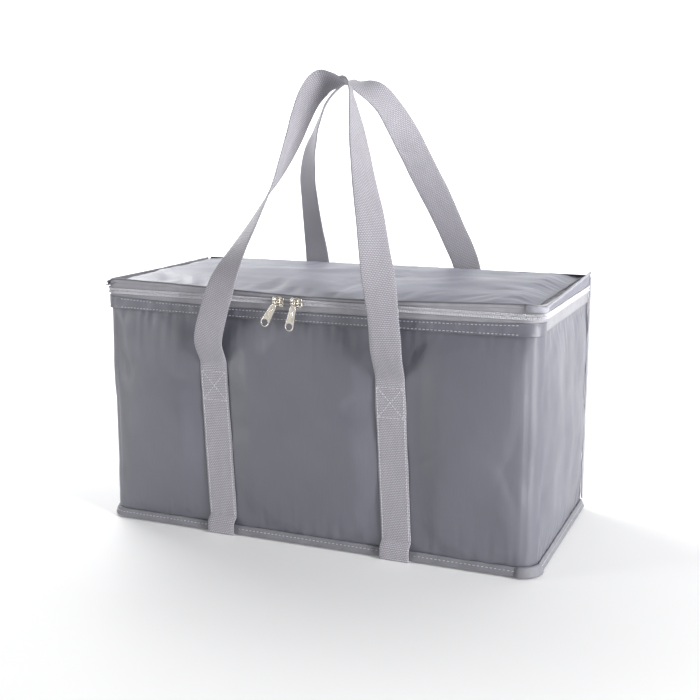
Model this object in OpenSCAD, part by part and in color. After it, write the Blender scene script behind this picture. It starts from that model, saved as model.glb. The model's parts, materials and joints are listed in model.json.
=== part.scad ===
// Insulated cooler bag: a foam-walled box of silver-grey nylon with a zipped lid and two webbing handles.
// Millimetres. Z is up, the bag's front faces -Y, and the origin is at the middle of its footprint.

/* [Bag] */
// Width of the box, side wall to side wall
body_w = 450; // [300:1:600]
// Depth of the box, front wall to back wall
body_d = 212; // [160:1:320]
// Height of the closed bag, floor to lid top
body_h = 255; // [180:1:400]
// Radius of the two soft front corners
corner_r = 16; // [8:1:30]

/* [Walls] */
// Thickness of the nylon outer fabric
skin_t = 1.0; // [0.6:0.1:1.4]
// Thickness of the foam insulation
foam_t = 5.0; // [3:0.5:12]
// Thickness of the foil liner
liner_t = 0.8; // [0.4:0.1:1.5]

/* [Lid] */
// How far the lid's edge stands out past the side walls
lid_out = 3.0; // [2.4:0.1:6]
// Height of the bound edge around the lid
lid_edge_h = 3.2; // [2.5:0.1:6]
// Width of the bound edge around the lid
lid_edge_w = 2.6; // [2:0.1:2.8]
// Radius of the lid's corners
lid_corner_r = 6; // [3:1:12]

/* [Zip] */
// Height of the zip's centre line below the lid top
zip_drop = 14; // [13.5:0.1:20]
// Height of one half of the coil
coil_h = 2.2; // [1.6:0.1:3]
// Depth of the coil, out from the tape
coil_d = 2.3; // [1.6:0.1:3]
// Gap between the two halves of the coil
coil_gap = 1.8; // [1.4:0.1:2.4]
// Width of one tape, coil included
tape_w = 14; // [10:0.5:20]
// Thickness of the tape
tape_t = 0.6; // [0.4:0.1:1]
// Length of a slider
slider_l = 12; // [8:0.5:16]
// Length of a pull tab, bar to tip
pull_l = 27.5; // [16:0.5:40]
// Width of a pull tab at its tip
pull_w = 8.9; // [6:0.1:12]
// Lean of the left pull, to the left of straight down
left_pull_lean = 31; // [-40:1:40]
// Lean of the right pull, to the left of straight down
right_pull_lean = 13; // [-40:1:40]
// Place of the left slider, across from the middle
left_slider_x = -27; // [-60:1:-20]
// Place of the right slider, across from the middle
right_slider_x = -8; // [-8:1:60]

/* [Edges] */
// Height of the binding around the base
base_bind_h = 10; // [6:0.5:16]
// How far the base binding stands out past the walls
base_bind_out = 6; // [4:0.5:10]
// Width of the bound seam at each back corner
corner_bind_w = 7.5; // [5:0.5:12]
// Height of the stitched hem under the front of the zip
hem_h = 13; // [8:0.5:20]

/* [Webbing] */
// Width of the webbing
web_w = 30; // [20:1:40]
// Thickness of the webbing
web_t = 1.6; // [1.2:0.1:2.2]
// Middle of the left strap to middle of the right strap, at the base
strap_gap = 186; // [140:1:230]
// Lean of the front straps to the left, base to stitch
front_lean = 7.5; // [0:0.5:12]
// Height of the straps' box stitch below the lid top
stitch_drop = 87; // [60:1:110]
// Height of the handles above the lid top
handle_rise = 192; // [150:1:260]

/* [Hidden] */
$fn = 48;

nylon = "#8f939d";
trim = "#a2a6b0";
webbing = "#b9bac6";
foam = "#f1f1ee";
foil = "#d5d8dc";
zip_grey = "#b4b8c0";
nickel = "#cfc6b4";

seam = 0.3; // gap between pieces that move or lie loose on each other
sewn = 0.1; // gap between curved layers sewn to each other
wall_x = body_w / 2;
wall_y = body_d / 2;

base_z = web_t; // the base hangs on the straps that pass under it
foam_z = base_z + skin_t;
liner_z = foam_z + foam_t;
inside_z = liner_z + liner_t;
foam_in = skin_t + sewn;
liner_in = foam_in + foam_t + sewn;
inside_in = liner_in + liner_t;

zip_z = body_h - zip_drop;
coil_low_z = zip_z - coil_gap / 2 - coil_h;
coil_high_z = zip_z + coil_gap / 2;
tape_out = 0.5; // tape's back face, out from the wall
coil_out = tape_out + tape_t;
plate_out = coil_out + coil_d + seam; // slider's front plate, out from the wall
plate_t = 1.3;
slider_h = 2 * (coil_gap / 2 + coil_h + 1.65);
post_t = coil_gap - 2 * seam;
bar_r = 0.9;
bar_out = plate_out + plate_t + 3.8;
eye_r = bar_r + 0.1;
knuckle_r = 2.1;
knuckle_l = 2.4;
rim_z = zip_z - slider_h / 2 - 0.8; // top of the front and side walls
zip_end_y = wall_y - corner_bind_w - 0.5;

hinge_z = body_h - 3.5;
back_top_z = hinge_z - 0.3;
lid_back_y = wall_y + 0.2;
lid_front_y = wall_y + 2.2;
lid_x = wall_x + lid_out;
lid_foam_z = body_h - skin_t - foam_t;
strip_z = zip_z + slider_h / 2 + 0.6;

strap_x = strap_gap / 2;
strap_y = wall_y + seam + web_t / 2;
stitch_z = body_h - stitch_drop;
strap_end_z = stitch_z - web_t / 2 - 0.65; // clear of the handle when it lies right down
fold_out = wall_y + base_bind_out + seam; // inner face of the strap over the base binding
fold_h = base_z + base_bind_h + 1;
tuck = 15; // length of a strap's end under the base
handle_up = body_h + handle_rise - stitch_z;
front_turn = 112; // direction of the webbing's width where the handles meet
pinch = web_w / 2 + 2; // half the webbing and half the gap where the handles meet
ring_steps = 4; // rings for each row of a handle

// ---- shapes that repeat ----

// Plan of the box, shrunk inwards by inset: soft corners at the front, square ones at the back.
module plan(inset) {
  x = wall_x - inset;
  y = wall_y - inset;
  r = corner_r - inset;
  translate([-x, -y + r]) square([2 * x, 2 * y - r]);
  translate([-x + r, -y]) square([2 * (x - r), 2 * y]);
  for (side = [-1, 1]) translate([side * (x - r), -y + r]) circle(r);
}

// A 2D section (x outwards, y up) run along a wall: 0 is the front, 90 the right side, 180 the back.
module run(angle, out, length, shift) {
  rotate([0, 0, angle]) translate([shift + length / 2, -out, 0]) rotate([90, 0, -90])
    linear_extrude(length) children();
}

// The section swept round one of the front corners, from a start angle.
module bend(side, start, sweep) {
  translate([side * (wall_x - corner_r), corner_r - wall_y, 0]) rotate([0, 0, start])
    rotate_extrude(angle = sweep) translate([corner_r, 0]) children();
}

// The section swept along the front and both sides, to end_y at the back.
module wrap(end_y) {
  side_l = end_y + wall_y - corner_r;
  side_y = (end_y - wall_y + corner_r) / 2;
  run(0, wall_y, body_w - 2 * corner_r, 0) children();
  run(90, wall_x, side_l, side_y) children();
  run(270, wall_x, side_l, -side_y) children();
  bend(1, -90, 90) children();
  bend(-1, 180, 90) children();
}

// A rectangle in section: from out_a to out_b, and z_a to z_b.
module band(out_a, out_b, z_a, z_b) {
  translate([out_a, z_a]) square([out_b - out_a, z_b - z_a]);
}

// ---- the box ----

module outer_wall() {
  color(nylon) wrap(wall_y - skin_t) band(-skin_t, 0, foam_z, rim_z);
}

module back_panel() {
  color(nylon) translate([-wall_x, wall_y - skin_t, foam_z])
    cube([body_w, skin_t, back_top_z - foam_z]);
}

module base_panel() {
  color(nylon) translate([0, 0, base_z]) linear_extrude(skin_t) plan(0);
}

module base_binding() {
  inner = sewn;
  low = base_z + sewn;
  section = [[inner, low], [base_bind_out - 0.4, low], [base_bind_out, low + 0.9],
             [inner + 1.4, base_z + base_bind_h], [inner, base_z + base_bind_h - 0.4]];
  color(trim) {
    wrap(wall_y) polygon(section);
    run(180, wall_y, body_w, 0) polygon(section);
    for (side = [-1, 1]) translate([side * wall_x, wall_y, 0]) rotate([0, 0, side > 0 ? 0 : 90])
      rotate_extrude(angle = 90) polygon(section);
  }
}

// The bound seam that stands on the side wall along a back corner.
module corner_binding(side) {
  bind_t = 1.6;
  low = base_z + base_bind_h + 0.5;
  color(trim) translate([side * (wall_x + sewn + bind_t / 2), wall_y - corner_bind_w / 2, 0])
    translate([0, 0, (low + back_top_z) / 2]) cube([bind_t, corner_bind_w, back_top_z - low], center = true);
}

// A slab of wall foam: the part of the foam's ring that lies in a region of the plan.
module foam_slab(region) {
  color(foam) translate([0, 0, liner_z]) linear_extrude(rim_z - liner_z) intersection() {
    difference() {
      plan(foam_in);
      plan(foam_in + foam_t);
    }
    polygon(region);
  }
}

// Front foam, with its ends turned half way round the soft corners.
module foam_front() {
  x = wall_x - corner_r;
  y = wall_y - corner_r;
  foam_slab([[-x, -y], [x, -y], [x + corner_r, -wall_y], [-x - corner_r, -wall_y]]);
}

module foam_side(side) {
  x = wall_x - corner_r;
  y = wall_y - corner_r;
  end_y = wall_y - foam_in - foam_t - sewn;
  foam_slab([[side * x, -y], [side * wall_x, -wall_y], [side * wall_x, end_y], [side * x, end_y]]);
}

module foam_back() {
  x = wall_x - foam_in;
  color(foam) translate([-x, wall_y - foam_in - foam_t, liner_z])
    cube([2 * x, foam_t, lid_foam_z - liner_t - liner_z]);
}

module foam_base() {
  color(foam) translate([0, 0, foam_z]) linear_extrude(foam_t) plan(foam_in);
}

module liner_wall() {
  color(foil) difference() {
    translate([0, 0, liner_z]) linear_extrude(rim_z - liner_z) plan(liner_in);
    translate([0, 0, liner_z - 1]) linear_extrude(body_h) plan(inside_in);
  }
}

module liner_base() {
  color(foil) translate([0, 0, liner_z]) linear_extrude(liner_t) plan(inside_in + sewn);
}

// ---- the zip ----

module hem_band() {
  hem_out = coil_out + sewn;
  color(nylon) run(0, wall_y, body_w - 2 * corner_r, 0)
    band(hem_out, hem_out + 0.8, rim_z - hem_h, rim_z);
}

module zip_tape_lower() {
  color(zip_grey) wrap(zip_end_y) band(tape_out, coil_out, coil_low_z + coil_h - tape_w, coil_low_z + coil_h);
}

module zip_tape_upper() {
  color(zip_grey) wrap(zip_end_y) band(tape_out, coil_out, coil_high_z, body_h - lid_edge_h - sewn);
}

module coil_lower() {
  color(zip_grey) wrap(zip_end_y) band(coil_out, coil_out + coil_d, coil_low_z, coil_low_z + coil_h);
}

module coil_upper() {
  color(zip_grey) wrap(zip_end_y) band(coil_out, coil_out + coil_d, coil_high_z, coil_high_z + coil_h);
}

// A slider: two plates joined by the post between the coils, with a crown bar for the pull.
module slider(x) {
  back_out = tape_out - seam;
  lip_t = 1.2;
  lip_out = coil_out + seam;
  crown_gap = knuckle_l + 2.8; // room for the pull to lean
  crown_t = 1.4;
  color(nickel) translate([x, -wall_y, zip_z]) {
    translate([-slider_l / 2, -plate_out - plate_t, -slider_h / 2]) cube([slider_l, plate_t, slider_h]);
    translate([-slider_l / 2, -back_out, -slider_h / 2]) cube([slider_l, 1.2, slider_h]);
    translate([-slider_l / 4, -plate_out - plate_t / 2, -post_t / 2])
      cube([slider_l / 2, plate_out + plate_t / 2 - back_out + 0.6, post_t]);
    translate([-slider_l / 2, -plate_out - plate_t / 2, -slider_h / 2])
      cube([slider_l, plate_out + plate_t / 2 - lip_out, lip_t]);
    for (side = [-1, 1]) translate([side * (crown_gap + crown_t) / 2, 0, 0]) {
      translate([-crown_t / 2, -bar_out, -bar_r - 0.6])
        cube([crown_t, bar_out - plate_out - plate_t / 2, 2 * bar_r + 1.2]);
      translate([0, -bar_out, 0]) rotate([0, 90, 0]) cylinder(r = bar_r + 0.6, h = crown_t, center = true);
    }
    translate([0, -bar_out, 0]) rotate([0, 90, 0]) cylinder(r = bar_r, h = crown_gap + crown_t, center = true);
  }
}

// A pull tab hanging from its bar: a knuckle round the bar and a flat blade with a hole at its tip.
module pull(x, lean) {
  blade_t = 1.6;
  tip_r = pull_w / 2;
  hole_r = tip_r - 1.2;
  neck_w = 4.2;
  color(nickel) translate([x, -wall_y - bar_out, zip_z]) difference() {
    union() {
      rotate([0, 90, 0]) cylinder(r = knuckle_r, h = knuckle_l, center = true);
      rotate([90, 0, 0]) linear_extrude(blade_t, center = true) rotate(-lean) {
        polygon([[-neck_w / 2 + 1, -1.6], [neck_w / 2 - 1, -1.6], [neck_w / 2, -5],
                 [tip_r, tip_r - pull_l], [-tip_r, tip_r - pull_l], [-neck_w / 2, -5]]);
        translate([0, tip_r - pull_l]) circle(tip_r);
      }
    }
    rotate([0, 90, 0]) cylinder(r = eye_r, h = 2 * knuckle_l, center = true);
    rotate([0, -lean, 0]) translate([0, 0, tip_r - pull_l]) rotate([90, 0, 0])
      cylinder(r = hole_r, h = 4 * blade_t, center = true);
  }
}

// ---- the lid ----

// Plan of the lid, shrunk inwards by inset: a rectangle with small round corners.
module lid_plan(inset) {
  x = lid_x - inset;
  front = lid_front_y - inset;
  back = lid_back_y - inset;
  r = lid_corner_r - inset;
  translate([-x + r, -front]) square([2 * (x - r), front + back]);
  translate([-x, -front + r]) square([2 * x, front + back - 2 * r]);
  for (i = [-1, 1], y = [-front + r, back - r]) translate([i * (x - r), y]) circle(r);
}

module lid_binding() {
  color(trim) difference() {
    translate([0, 0, body_h - lid_edge_h]) linear_extrude(lid_edge_h) lid_plan(0);
    translate([0, 0, body_h - lid_edge_h - 1]) linear_extrude(lid_edge_h + 2) lid_plan(lid_edge_w);
  }
}

module lid_panel() {
  color(nylon) translate([0, 0, body_h - skin_t]) linear_extrude(skin_t) lid_plan(lid_edge_w + sewn);
}

// Plan of the lid's filling, which drops inside the zip's tape and the bound edge.
module lid_core() {
  intersection() {
    plan(foam_in);
    lid_plan(lid_edge_w + seam);
  }
}

module lid_foam() {
  color(foam) translate([0, 0, lid_foam_z]) linear_extrude(foam_t) lid_core();
}

module lid_liner() {
  color(foil) translate([0, 0, lid_foam_z - liner_t]) linear_extrude(liner_t) lid_core();
}

module lid_strip() {
  strip_out = coil_out + sewn;
  color(nylon) wrap(zip_end_y) band(strip_out, strip_out + 0.8, strip_z, body_h - lid_edge_h - sewn);
}

// ---- the webbing ----

// One strap on a wall: tucked under the base, folded up over the binding, then flat up the wall.
// facing is -1 on the front and 1 on the back, and lean moves its top across.
module strap(x, facing, lean) {
  flat_z = fold_h + 6;
  face = wall_y + seam;
  color(webbing) {
    translate([x + web_w / 2, 0, 0]) rotate([90, 0, facing < 0 ? -90 : 90])
      translate([0, 0, facing < 0 ? 0 : -web_w]) linear_extrude(web_w)
      polygon([[fold_out - tuck, 0], [fold_out + web_t, 0], [fold_out + web_t, fold_h],
               [face + web_t, flat_z - 1], [face + web_t, flat_z], [face, flat_z],
               [face, flat_z - 2], [fold_out, fold_h - 1], [fold_out, web_t], [fold_out - tuck, web_t]]);
    translate([x, facing * (face + web_t / 2) + web_t / 2, 0]) rotate([90, 0, 0]) linear_extrude(web_t)
      polygon([[-web_w / 2, flat_z], [web_w / 2, flat_z],
               [web_w / 2 + lean, strap_end_z], [lean - web_w / 2, strap_end_z]]);
  }
}

module strap_base(side) {
  color(webbing) translate([side * strap_x - web_w / 2, tuck - fold_out, 0])
    cube([web_w, 2 * (fold_out - tuck), web_t]);
}

function unit(v) = v / norm(v);
function spline(a, b, c, d, t) =
  0.5 * (2 * b + (c - a) * t + (2 * a - 5 * b + 4 * c - d) * t * t + (3 * b - a - 3 * c + d) * t * t * t);
function smooth(rows) = let (last = len(rows) - 1)
  [for (i = [0 : last - 1], s = [0 : ring_steps - 1])
    spline(rows[max(i - 1, 0)], rows[i], rows[i + 1], rows[min(i + 2, last)], s / ring_steps), rows[last]];
function place(row) = [row[0], row[1], row[2]];
function across(row, tangent) =
  let (d = [cos(row[3]) * cos(row[4]), sin(row[3]) * cos(row[4]), sin(row[4])])
  unit(d - (d * tangent) * tangent);

// A flat ribbon through rows of [x, y, z, turn, tilt]: turn is its width's direction in plan.
module ribbon(rows) {
  path = smooth(rows);
  last = len(path) - 1;
  points = [for (i = [0 : last])
    let (c = place(path[i]),
         t = unit(place(path[min(i + 1, last)]) - place(path[max(i - 1, 0)])),
         u = across(path[i], t) * web_w / 2,
         v = cross(t, across(path[i], t)) * web_t / 2)
    each [c - u - v, c + u - v, c + u + v, c - u + v]];
  sides = [for (i = [0 : last - 1], j = [0 : 3]) let (a = 4 * i + j, b = 4 * i + (j + 1) % 4)
    each [[a, a + 4, b + 4], [a, b + 4, b]]];
  end = 4 * last;
  polyhedron(points, [each sides, [0, 1, 2, 3], [end + 3, end + 2, end + 1, end]]);
}

// The rolled end of a handle, on the line where it leaves the strap's stitching.
module handle_end(x, facing) {
  translate([x, facing * strap_y, stitch_z]) rotate([0, 90, 0]) cylinder(r = web_t / 2, h = web_w, center = true);
}

// A handle row from shares of the strap spacing, the wall's distance and the handle's height.
// A near row, beside the place where the handles meet, stands off the middle by its share of the pinch.
function row(across_share, out_share, up_share, turn, tilt) =
  [across_share * strap_x, out_share * wall_y, stitch_z + up_share * handle_up, turn, tilt];
function near_row(across_share, out, up_share, turn, tilt) =
  [across_share * strap_x, out * pinch, stitch_z + up_share * handle_up, turn, tilt];
function end_row(x, facing, turn, up) = [x, facing * (strap_y + up / 10), stitch_z + up, turn, 0];

module handle_front() {
  left_x = -strap_x - front_lean;
  right_x = strap_x - front_lean;
  color(webbing) {
    ribbon([end_row(left_x, -1, 180, 0), end_row(left_x, -1, 180, 10),
      row(-1.06, -1.135, 0.115, 180, 0), row(-0.97, -1.155, 0.22, 178, 0), row(-0.86, -1.135, 0.33, 170, 0),
      row(-0.74, -1.05, 0.43, 146, 0), row(-0.63, -0.93, 0.52, 129, 0), row(-0.52, -0.80, 0.62, 115, 0),
      row(-0.45, -0.65, 0.71, 98, -2), row(-0.40, -0.49, 0.806, 86, -6), row(-0.375, -0.38, 0.875, 78, -12),
      near_row(-0.33, -1.68, 0.946, 68, -26), near_row(-0.235, -1.25, 0.994, 66, -42),
      near_row(-0.11, -1.03, 1.005, 88, -28),
      [-3 + pinch * 0.37, -pinch * 0.93, stitch_z + handle_up, front_turn, -4],
      near_row(0.14, -1.37, 0.955, 108, 0), row(0.25, -0.37, 0.88, 94, 0), row(0.38, -0.55, 0.77, 79, 0),
      row(0.51, -0.72, 0.66, 67, 0), row(0.64, -0.88, 0.56, 53, 0), row(0.76, -1.03, 0.44, 34, 0),
      row(0.85, -1.11, 0.33, 14, 0), row(0.91, -1.155, 0.22, 3, 0), row(0.93, -1.135, 0.115, 0, 0),
      end_row(right_x, -1, 0, 10), end_row(right_x, -1, 0, 0)]);
    handle_end(left_x, -1);
    handle_end(right_x, -1);
  }
}

module handle_back() {
  color(webbing) {
    ribbon([end_row(-strap_x, 1, 180, 0), end_row(-strap_x, 1, 180, 10),
      row(-1.0, 1.135, 0.115, 180, 0), row(-0.97, 1.16, 0.22, 179, 0), row(-0.97, 1.12, 0.33, 172, 0),
      row(-0.975, 1.04, 0.44, 160, 0), row(-0.95, 0.92, 0.54, 151, 0), row(-0.90, 0.77, 0.64, 144, 0),
      row(-0.80, 0.63, 0.73, 136, 0), row(-0.67, 0.50, 0.80, 124, 0), row(-0.54, 0.38, 0.87, 117, 0),
      near_row(-0.36, 1.56, 0.945, 114, 0), [-3 - pinch * 0.37, pinch * 0.93, stitch_z + handle_up, front_turn, 4],
      near_row(0.08, 0.935, 0.985, 98, 28), near_row(0.25, 1.5, 0.95, 74, 50), row(0.36, 0.38, 0.88, 52, 40),
      row(0.465, 0.53, 0.79, 36, 26), row(0.575, 0.70, 0.68, 26, 16), row(0.69, 0.87, 0.57, 18, 8),
      row(0.81, 1.02, 0.45, 10, 0), row(0.94, 1.12, 0.33, 4, 0), row(1.0, 1.16, 0.22, 0, 0),
      row(1.0, 1.135, 0.115, 0, 0), end_row(strap_x, 1, 0, 10), end_row(strap_x, 1, 0, 0)]);
    handle_end(-strap_x, 1);
    handle_end(strap_x, 1);
  }
}

outer_wall();
back_panel();
base_panel();
base_binding();
corner_binding(-1);  // corner_binding_left
corner_binding(1);  // corner_binding_right
foam_front();
foam_back();
foam_side(-1);  // foam_left
foam_side(1);  // foam_right
foam_base();
liner_wall();
liner_base();
hem_band();
zip_tape_lower();
coil_lower();
strap(-strap_x, -1, -front_lean);  // strap_front_left
strap(strap_x, -1, -front_lean);  // strap_front_right
strap(-strap_x, 1, 0);  // strap_back_left
strap(strap_x, 1, 0);  // strap_back_right
strap_base(-1);  // strap_base_left
strap_base(1);  // strap_base_right
lid_panel();
lid_foam();
lid_liner();
lid_binding();
lid_strip();
zip_tape_upper();
coil_upper();
slider(left_slider_x);  // slider_left
slider(right_slider_x);  // slider_right
pull(left_slider_x, left_pull_lean);  // pull_left
pull(right_slider_x, right_pull_lean);  // pull_right
handle_front();
handle_back();
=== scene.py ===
import json
import math

import bpy
import numpy as np
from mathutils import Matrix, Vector


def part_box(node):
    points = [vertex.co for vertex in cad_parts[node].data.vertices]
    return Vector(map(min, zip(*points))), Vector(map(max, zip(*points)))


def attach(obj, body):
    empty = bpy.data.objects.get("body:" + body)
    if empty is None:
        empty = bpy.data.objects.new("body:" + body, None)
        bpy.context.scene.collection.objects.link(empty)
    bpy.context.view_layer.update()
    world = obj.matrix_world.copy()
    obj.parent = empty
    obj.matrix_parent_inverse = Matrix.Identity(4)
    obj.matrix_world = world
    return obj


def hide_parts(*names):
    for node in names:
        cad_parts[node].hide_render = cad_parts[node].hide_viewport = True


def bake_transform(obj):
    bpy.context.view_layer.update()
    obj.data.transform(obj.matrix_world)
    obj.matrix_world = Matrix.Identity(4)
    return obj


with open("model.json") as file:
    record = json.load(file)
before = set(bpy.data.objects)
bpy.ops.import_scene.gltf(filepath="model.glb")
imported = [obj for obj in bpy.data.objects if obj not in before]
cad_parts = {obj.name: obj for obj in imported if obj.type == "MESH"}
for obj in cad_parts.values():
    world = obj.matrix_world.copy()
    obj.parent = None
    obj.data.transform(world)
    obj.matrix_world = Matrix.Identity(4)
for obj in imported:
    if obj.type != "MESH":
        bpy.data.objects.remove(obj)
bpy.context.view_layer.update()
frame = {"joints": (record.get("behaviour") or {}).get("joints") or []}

bl_info = {
    "name": "Insulated Cooler Bag",
    "version": (1, 0, 0),
    "blender": (4, 5, 0),
    "location": "3D View > Sidebar > Cooler Bag",
    "description": "Builds the fabric, webbing, zip and lining of a cooler bag around its frame",
    "category": "Add Mesh",
}

MM = 0.001
UP = (0, 0, 1)
SIDEWAYS = (1, 0, 0)
BACKWARDS = (0, 1, 0)
SIDES = ((-1, "left"), (1, "right"))


def middle(node):
    low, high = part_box(node)
    return (low + high) / 2


WALL_LOW, WALL_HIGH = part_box("outer_wall")
WALL_X = WALL_HIGH.x
WALL_Y = -WALL_LOW.y
CORNER_R = 16 * MM
BASE_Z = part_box("base_panel")[0].z
RIM_Z = WALL_HIGH.z
LINER_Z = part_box("liner_base")[0].z
TOP_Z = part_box("lid_panel")[1].z
BACK_TOP_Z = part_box("back_panel")[1].z
ZIP_Z = (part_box("coil_lower")[0].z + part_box("coil_upper")[1].z) / 2
ZIP_END_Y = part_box("coil_lower")[1].y
INSIDE_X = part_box("liner_wall")[1].x
INSIDE_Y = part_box("liner_wall")[1].y
STRAP_X = middle("strap_base_right").x
STRAP_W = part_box("strap_base_right")[1].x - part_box("strap_base_right")[0].x
STRAP_OUT = 1.1 * MM
JOINTS = {joint["name"]: joint for joint in frame["joints"]}
STITCH_Z = JOINTS["front_handle_swing"]["pos_m"][2]
HANDLE_UP = 279 * MM
FRONT_LEAN = 7.5 * MM
HINGE = Vector(JOINTS["lid_hinge"]["pos_m"])


# ---- arithmetic on points ----

def smoothstep(low, high, x):
    t = np.clip((x - low) / (high - low), 0, 1)
    return t * t * (3 - 2 * t)


def hump(share):
    """0 at the ends of a span and 1 in its middle."""
    return np.sin(math.pi * share)


def ripple(u, v, size, seed, waves=14):
    """Soft random swells of about the given size, the same on every run. With v as 0 they run one way."""
    draw = np.random.RandomState(seed)
    total = 0
    for _ in range(waves):
        angle = draw.uniform(0, 2 * math.pi)
        length = size * draw.uniform(0.65, 1.7)
        phase = draw.uniform(0, 2 * math.pi)
        total = total + np.cos(2 * math.pi * (u * math.cos(angle) + v * math.sin(angle)) / length + phase)
    return total / math.sqrt(waves)


def unit(vectors):
    return vectors / np.maximum(np.linalg.norm(vectors, axis=-1, keepdims=True), 1e-12)


def cubic(rows, steps):
    """Catmull-Rom points through rows, with the given steps between each two."""
    rows = np.asarray(rows, float)
    padded = np.concatenate([rows[:1], rows, rows[-1:]])
    a, b, c, d = padded[:-3], padded[1:-2], padded[2:-1], padded[3:]
    parts = []
    for k in range(steps):
        t = k / steps
        parts.append(0.5 * (2 * b + (c - a) * t + (2 * a - 5 * b + 4 * c - d) * t ** 2
                            + (3 * b - a - 3 * c + d) * t ** 3))
    joined = np.stack(parts, axis=1).reshape((-1,) + rows.shape[1:])
    return np.concatenate([joined, rows[-1:]])


def refine(grid, steps):
    """The same grid of points with more rows and columns between."""
    finer = cubic(grid, steps)
    return np.swapaxes(cubic(np.swapaxes(finer, 0, 1), steps), 0, 1)


def arc_lengths(points):
    return np.concatenate([[0], np.cumsum(np.linalg.norm(np.diff(points, axis=0), axis=1))])


def every(way, points):
    """The same direction, once for each of the points."""
    return np.broadcast_to(np.array(way, float), points.shape)


def lifted(plan, z=0.0):
    """Points in plan, raised to a height."""
    return np.concatenate([plan, np.full((len(plan), 1), z)], 1)


def circle(radius, count):
    angles = np.arange(count) * 2 * math.pi / count
    return np.stack([np.cos(angles), np.sin(angles)], 1) * radius


def wrap_line(out, end_y, count):
    """Points, outward normals and lengths along the left side, the front and the right side of the box."""
    x, y = WALL_X - CORNER_R, WALL_Y - CORNER_R
    arc = CORNER_R * math.pi / 2
    turns = np.cumsum([0, end_y + y, arc, 2 * x, arc, end_y + y])
    length = np.linspace(0, turns[-1], count)
    angle = np.interp(length, turns, np.radians([180, 180, 270, 270, 360, 360]))
    normals = np.stack([np.cos(angle), np.sin(angle)], 1)
    centres = np.stack([np.interp(length, turns, [-x, -x, -x, x, x, x]),
                        np.interp(length, turns, [end_y, -y, -y, -y, -y, end_y])], 1)
    return centres + (CORNER_R + out) * normals, normals, length


def outline(left, right, front, back, radii, step):
    """A closed rounded rectangle from the front's left end round by the right: points and outward normals."""
    front_r, back_r = radii
    corners = [(right - front_r, front + front_r, front_r, -90), (right - back_r, back - back_r, back_r, 0),
               (left + back_r, back - back_r, back_r, 90), (left + front_r, front + front_r, front_r, 180)]
    points, normals = [], []
    for k, (x, y, r, start) in enumerate(corners):
        angle = np.radians(np.linspace(start, start + 90, 9))
        arc = np.stack([np.cos(angle), np.sin(angle)], 1)
        next_x, next_y, next_r, _ = corners[(k + 1) % 4]
        last, target = (x, y) + r * arc[-1], (next_x, next_y) + next_r * arc[-1]
        pieces = max(int(np.linalg.norm(target - last) / step), 1)
        points += [(x, y) + r * arc, np.linspace(last, target, pieces + 1)[1:-1]]
        normals += [arc, np.repeat(arc[-1:], pieces - 1, 0)]
    return np.concatenate(points), np.concatenate(normals)


# ---- meshes ----

def put(name, data):
    """A new object in the scene."""
    obj = bpy.data.objects.new(name, data)
    bpy.context.scene.collection.objects.link(obj)
    return obj


def smooth_mesh(name, points, faces):
    mesh = bpy.data.meshes.new(name)
    mesh.from_pydata(points, [], faces)
    mesh.polygons.foreach_set("use_smooth", [True] * len(mesh.polygons))
    mesh.update()
    return mesh


def vertices(mesh):
    co = np.zeros(len(mesh.vertices) * 3)
    mesh.vertices.foreach_get("co", co)
    return co.reshape(-1, 3)


def grid_object(name, grid, uv=None, closed=(False, False), caps=False):
    """A quad mesh over a grid of points. Its UVs are in metres along the grid, unless they are given."""
    rows, columns = grid.shape[:2]
    row_count = rows if closed[0] else rows - 1
    column_count = columns if closed[1] else columns - 1
    i, j = np.meshgrid(np.arange(row_count), np.arange(column_count), indexing="ij")
    i, j = i.ravel(), j.ravel()
    next_i, next_j = (i + 1) % rows, (j + 1) % columns
    corners = ((i, j), (next_i, j), (next_i, next_j), (i, next_j))
    faces = np.stack([row * columns + column for row, column in corners], 1).tolist()
    if caps:
        faces.append(list(range(columns)))
        faces.append([(rows - 1) * columns + k for k in reversed(range(columns))])
    mesh = smooth_mesh(name, grid.reshape(-1, 3).tolist(), faces)
    if uv is None:
        u, v = arc_lengths(grid[rows // 2]), arc_lengths(grid[:, columns // 2])
        uv = np.stack(np.broadcast_arrays(u[None, :], v[:, None]), -1)
    flat = np.asarray(uv).reshape(-1, 2)
    layer = mesh.uv_layers.new(name="UVMap")
    index = np.zeros(len(mesh.loops), int)
    mesh.loops.foreach_get("vertex_index", index)
    layer.data.foreach_set("uv", flat[index].ravel())
    return put(name, mesh)


def thicken(obj, thickness, offset=-1.0):
    solid = obj.modifiers.new("thickness", "SOLIDIFY")
    solid.thickness = thickness
    solid.offset = offset
    solid.use_even_offset = False
    return obj


def carry(path, sides, ups, section):
    """A grid of points: a section, as (side, up) pairs, set at each point of a path."""
    return path[:, None] + sides[:, None] * section[None, :, :1] + ups[:, None] * section[None, :, 1:]


def sweep(name, path, sides, ups, section):
    """A closed section carried along a path: section holds (side, up) pairs in order round it."""
    section = np.asarray(section, float)
    grid = carry(path, sides, ups, section)
    around = arc_lengths(np.concatenate([section, section[:1]]))[:-1]
    along = arc_lengths(path)
    uv = np.stack(np.broadcast_arrays(around[None, :], along[:, None]), -1)
    return grid_object(name, grid, uv, closed=(False, True), caps=True)


def tape_section(width, thickness, bulge=0.0):
    """The outline of a flat tape with rolled edges, from its left edge along the face and back."""
    half, r = width / 2, thickness / 2
    across = np.linspace(-half + r, half - r, 9)
    swell = bulge * (1 - (across / half) ** 2)
    face = np.stack([across, r + swell], 1)
    right = [(half - r + r * math.cos(a), r * math.sin(a)) for a in np.radians([45, 0, -45])]
    back = np.stack([across[::-1], np.full(9, -r)], 1)
    left = [(-half + r - r * math.cos(a), -r * math.sin(a)) for a in np.radians([45, 0, -45])]
    return np.concatenate([face, right, back, left])


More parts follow.
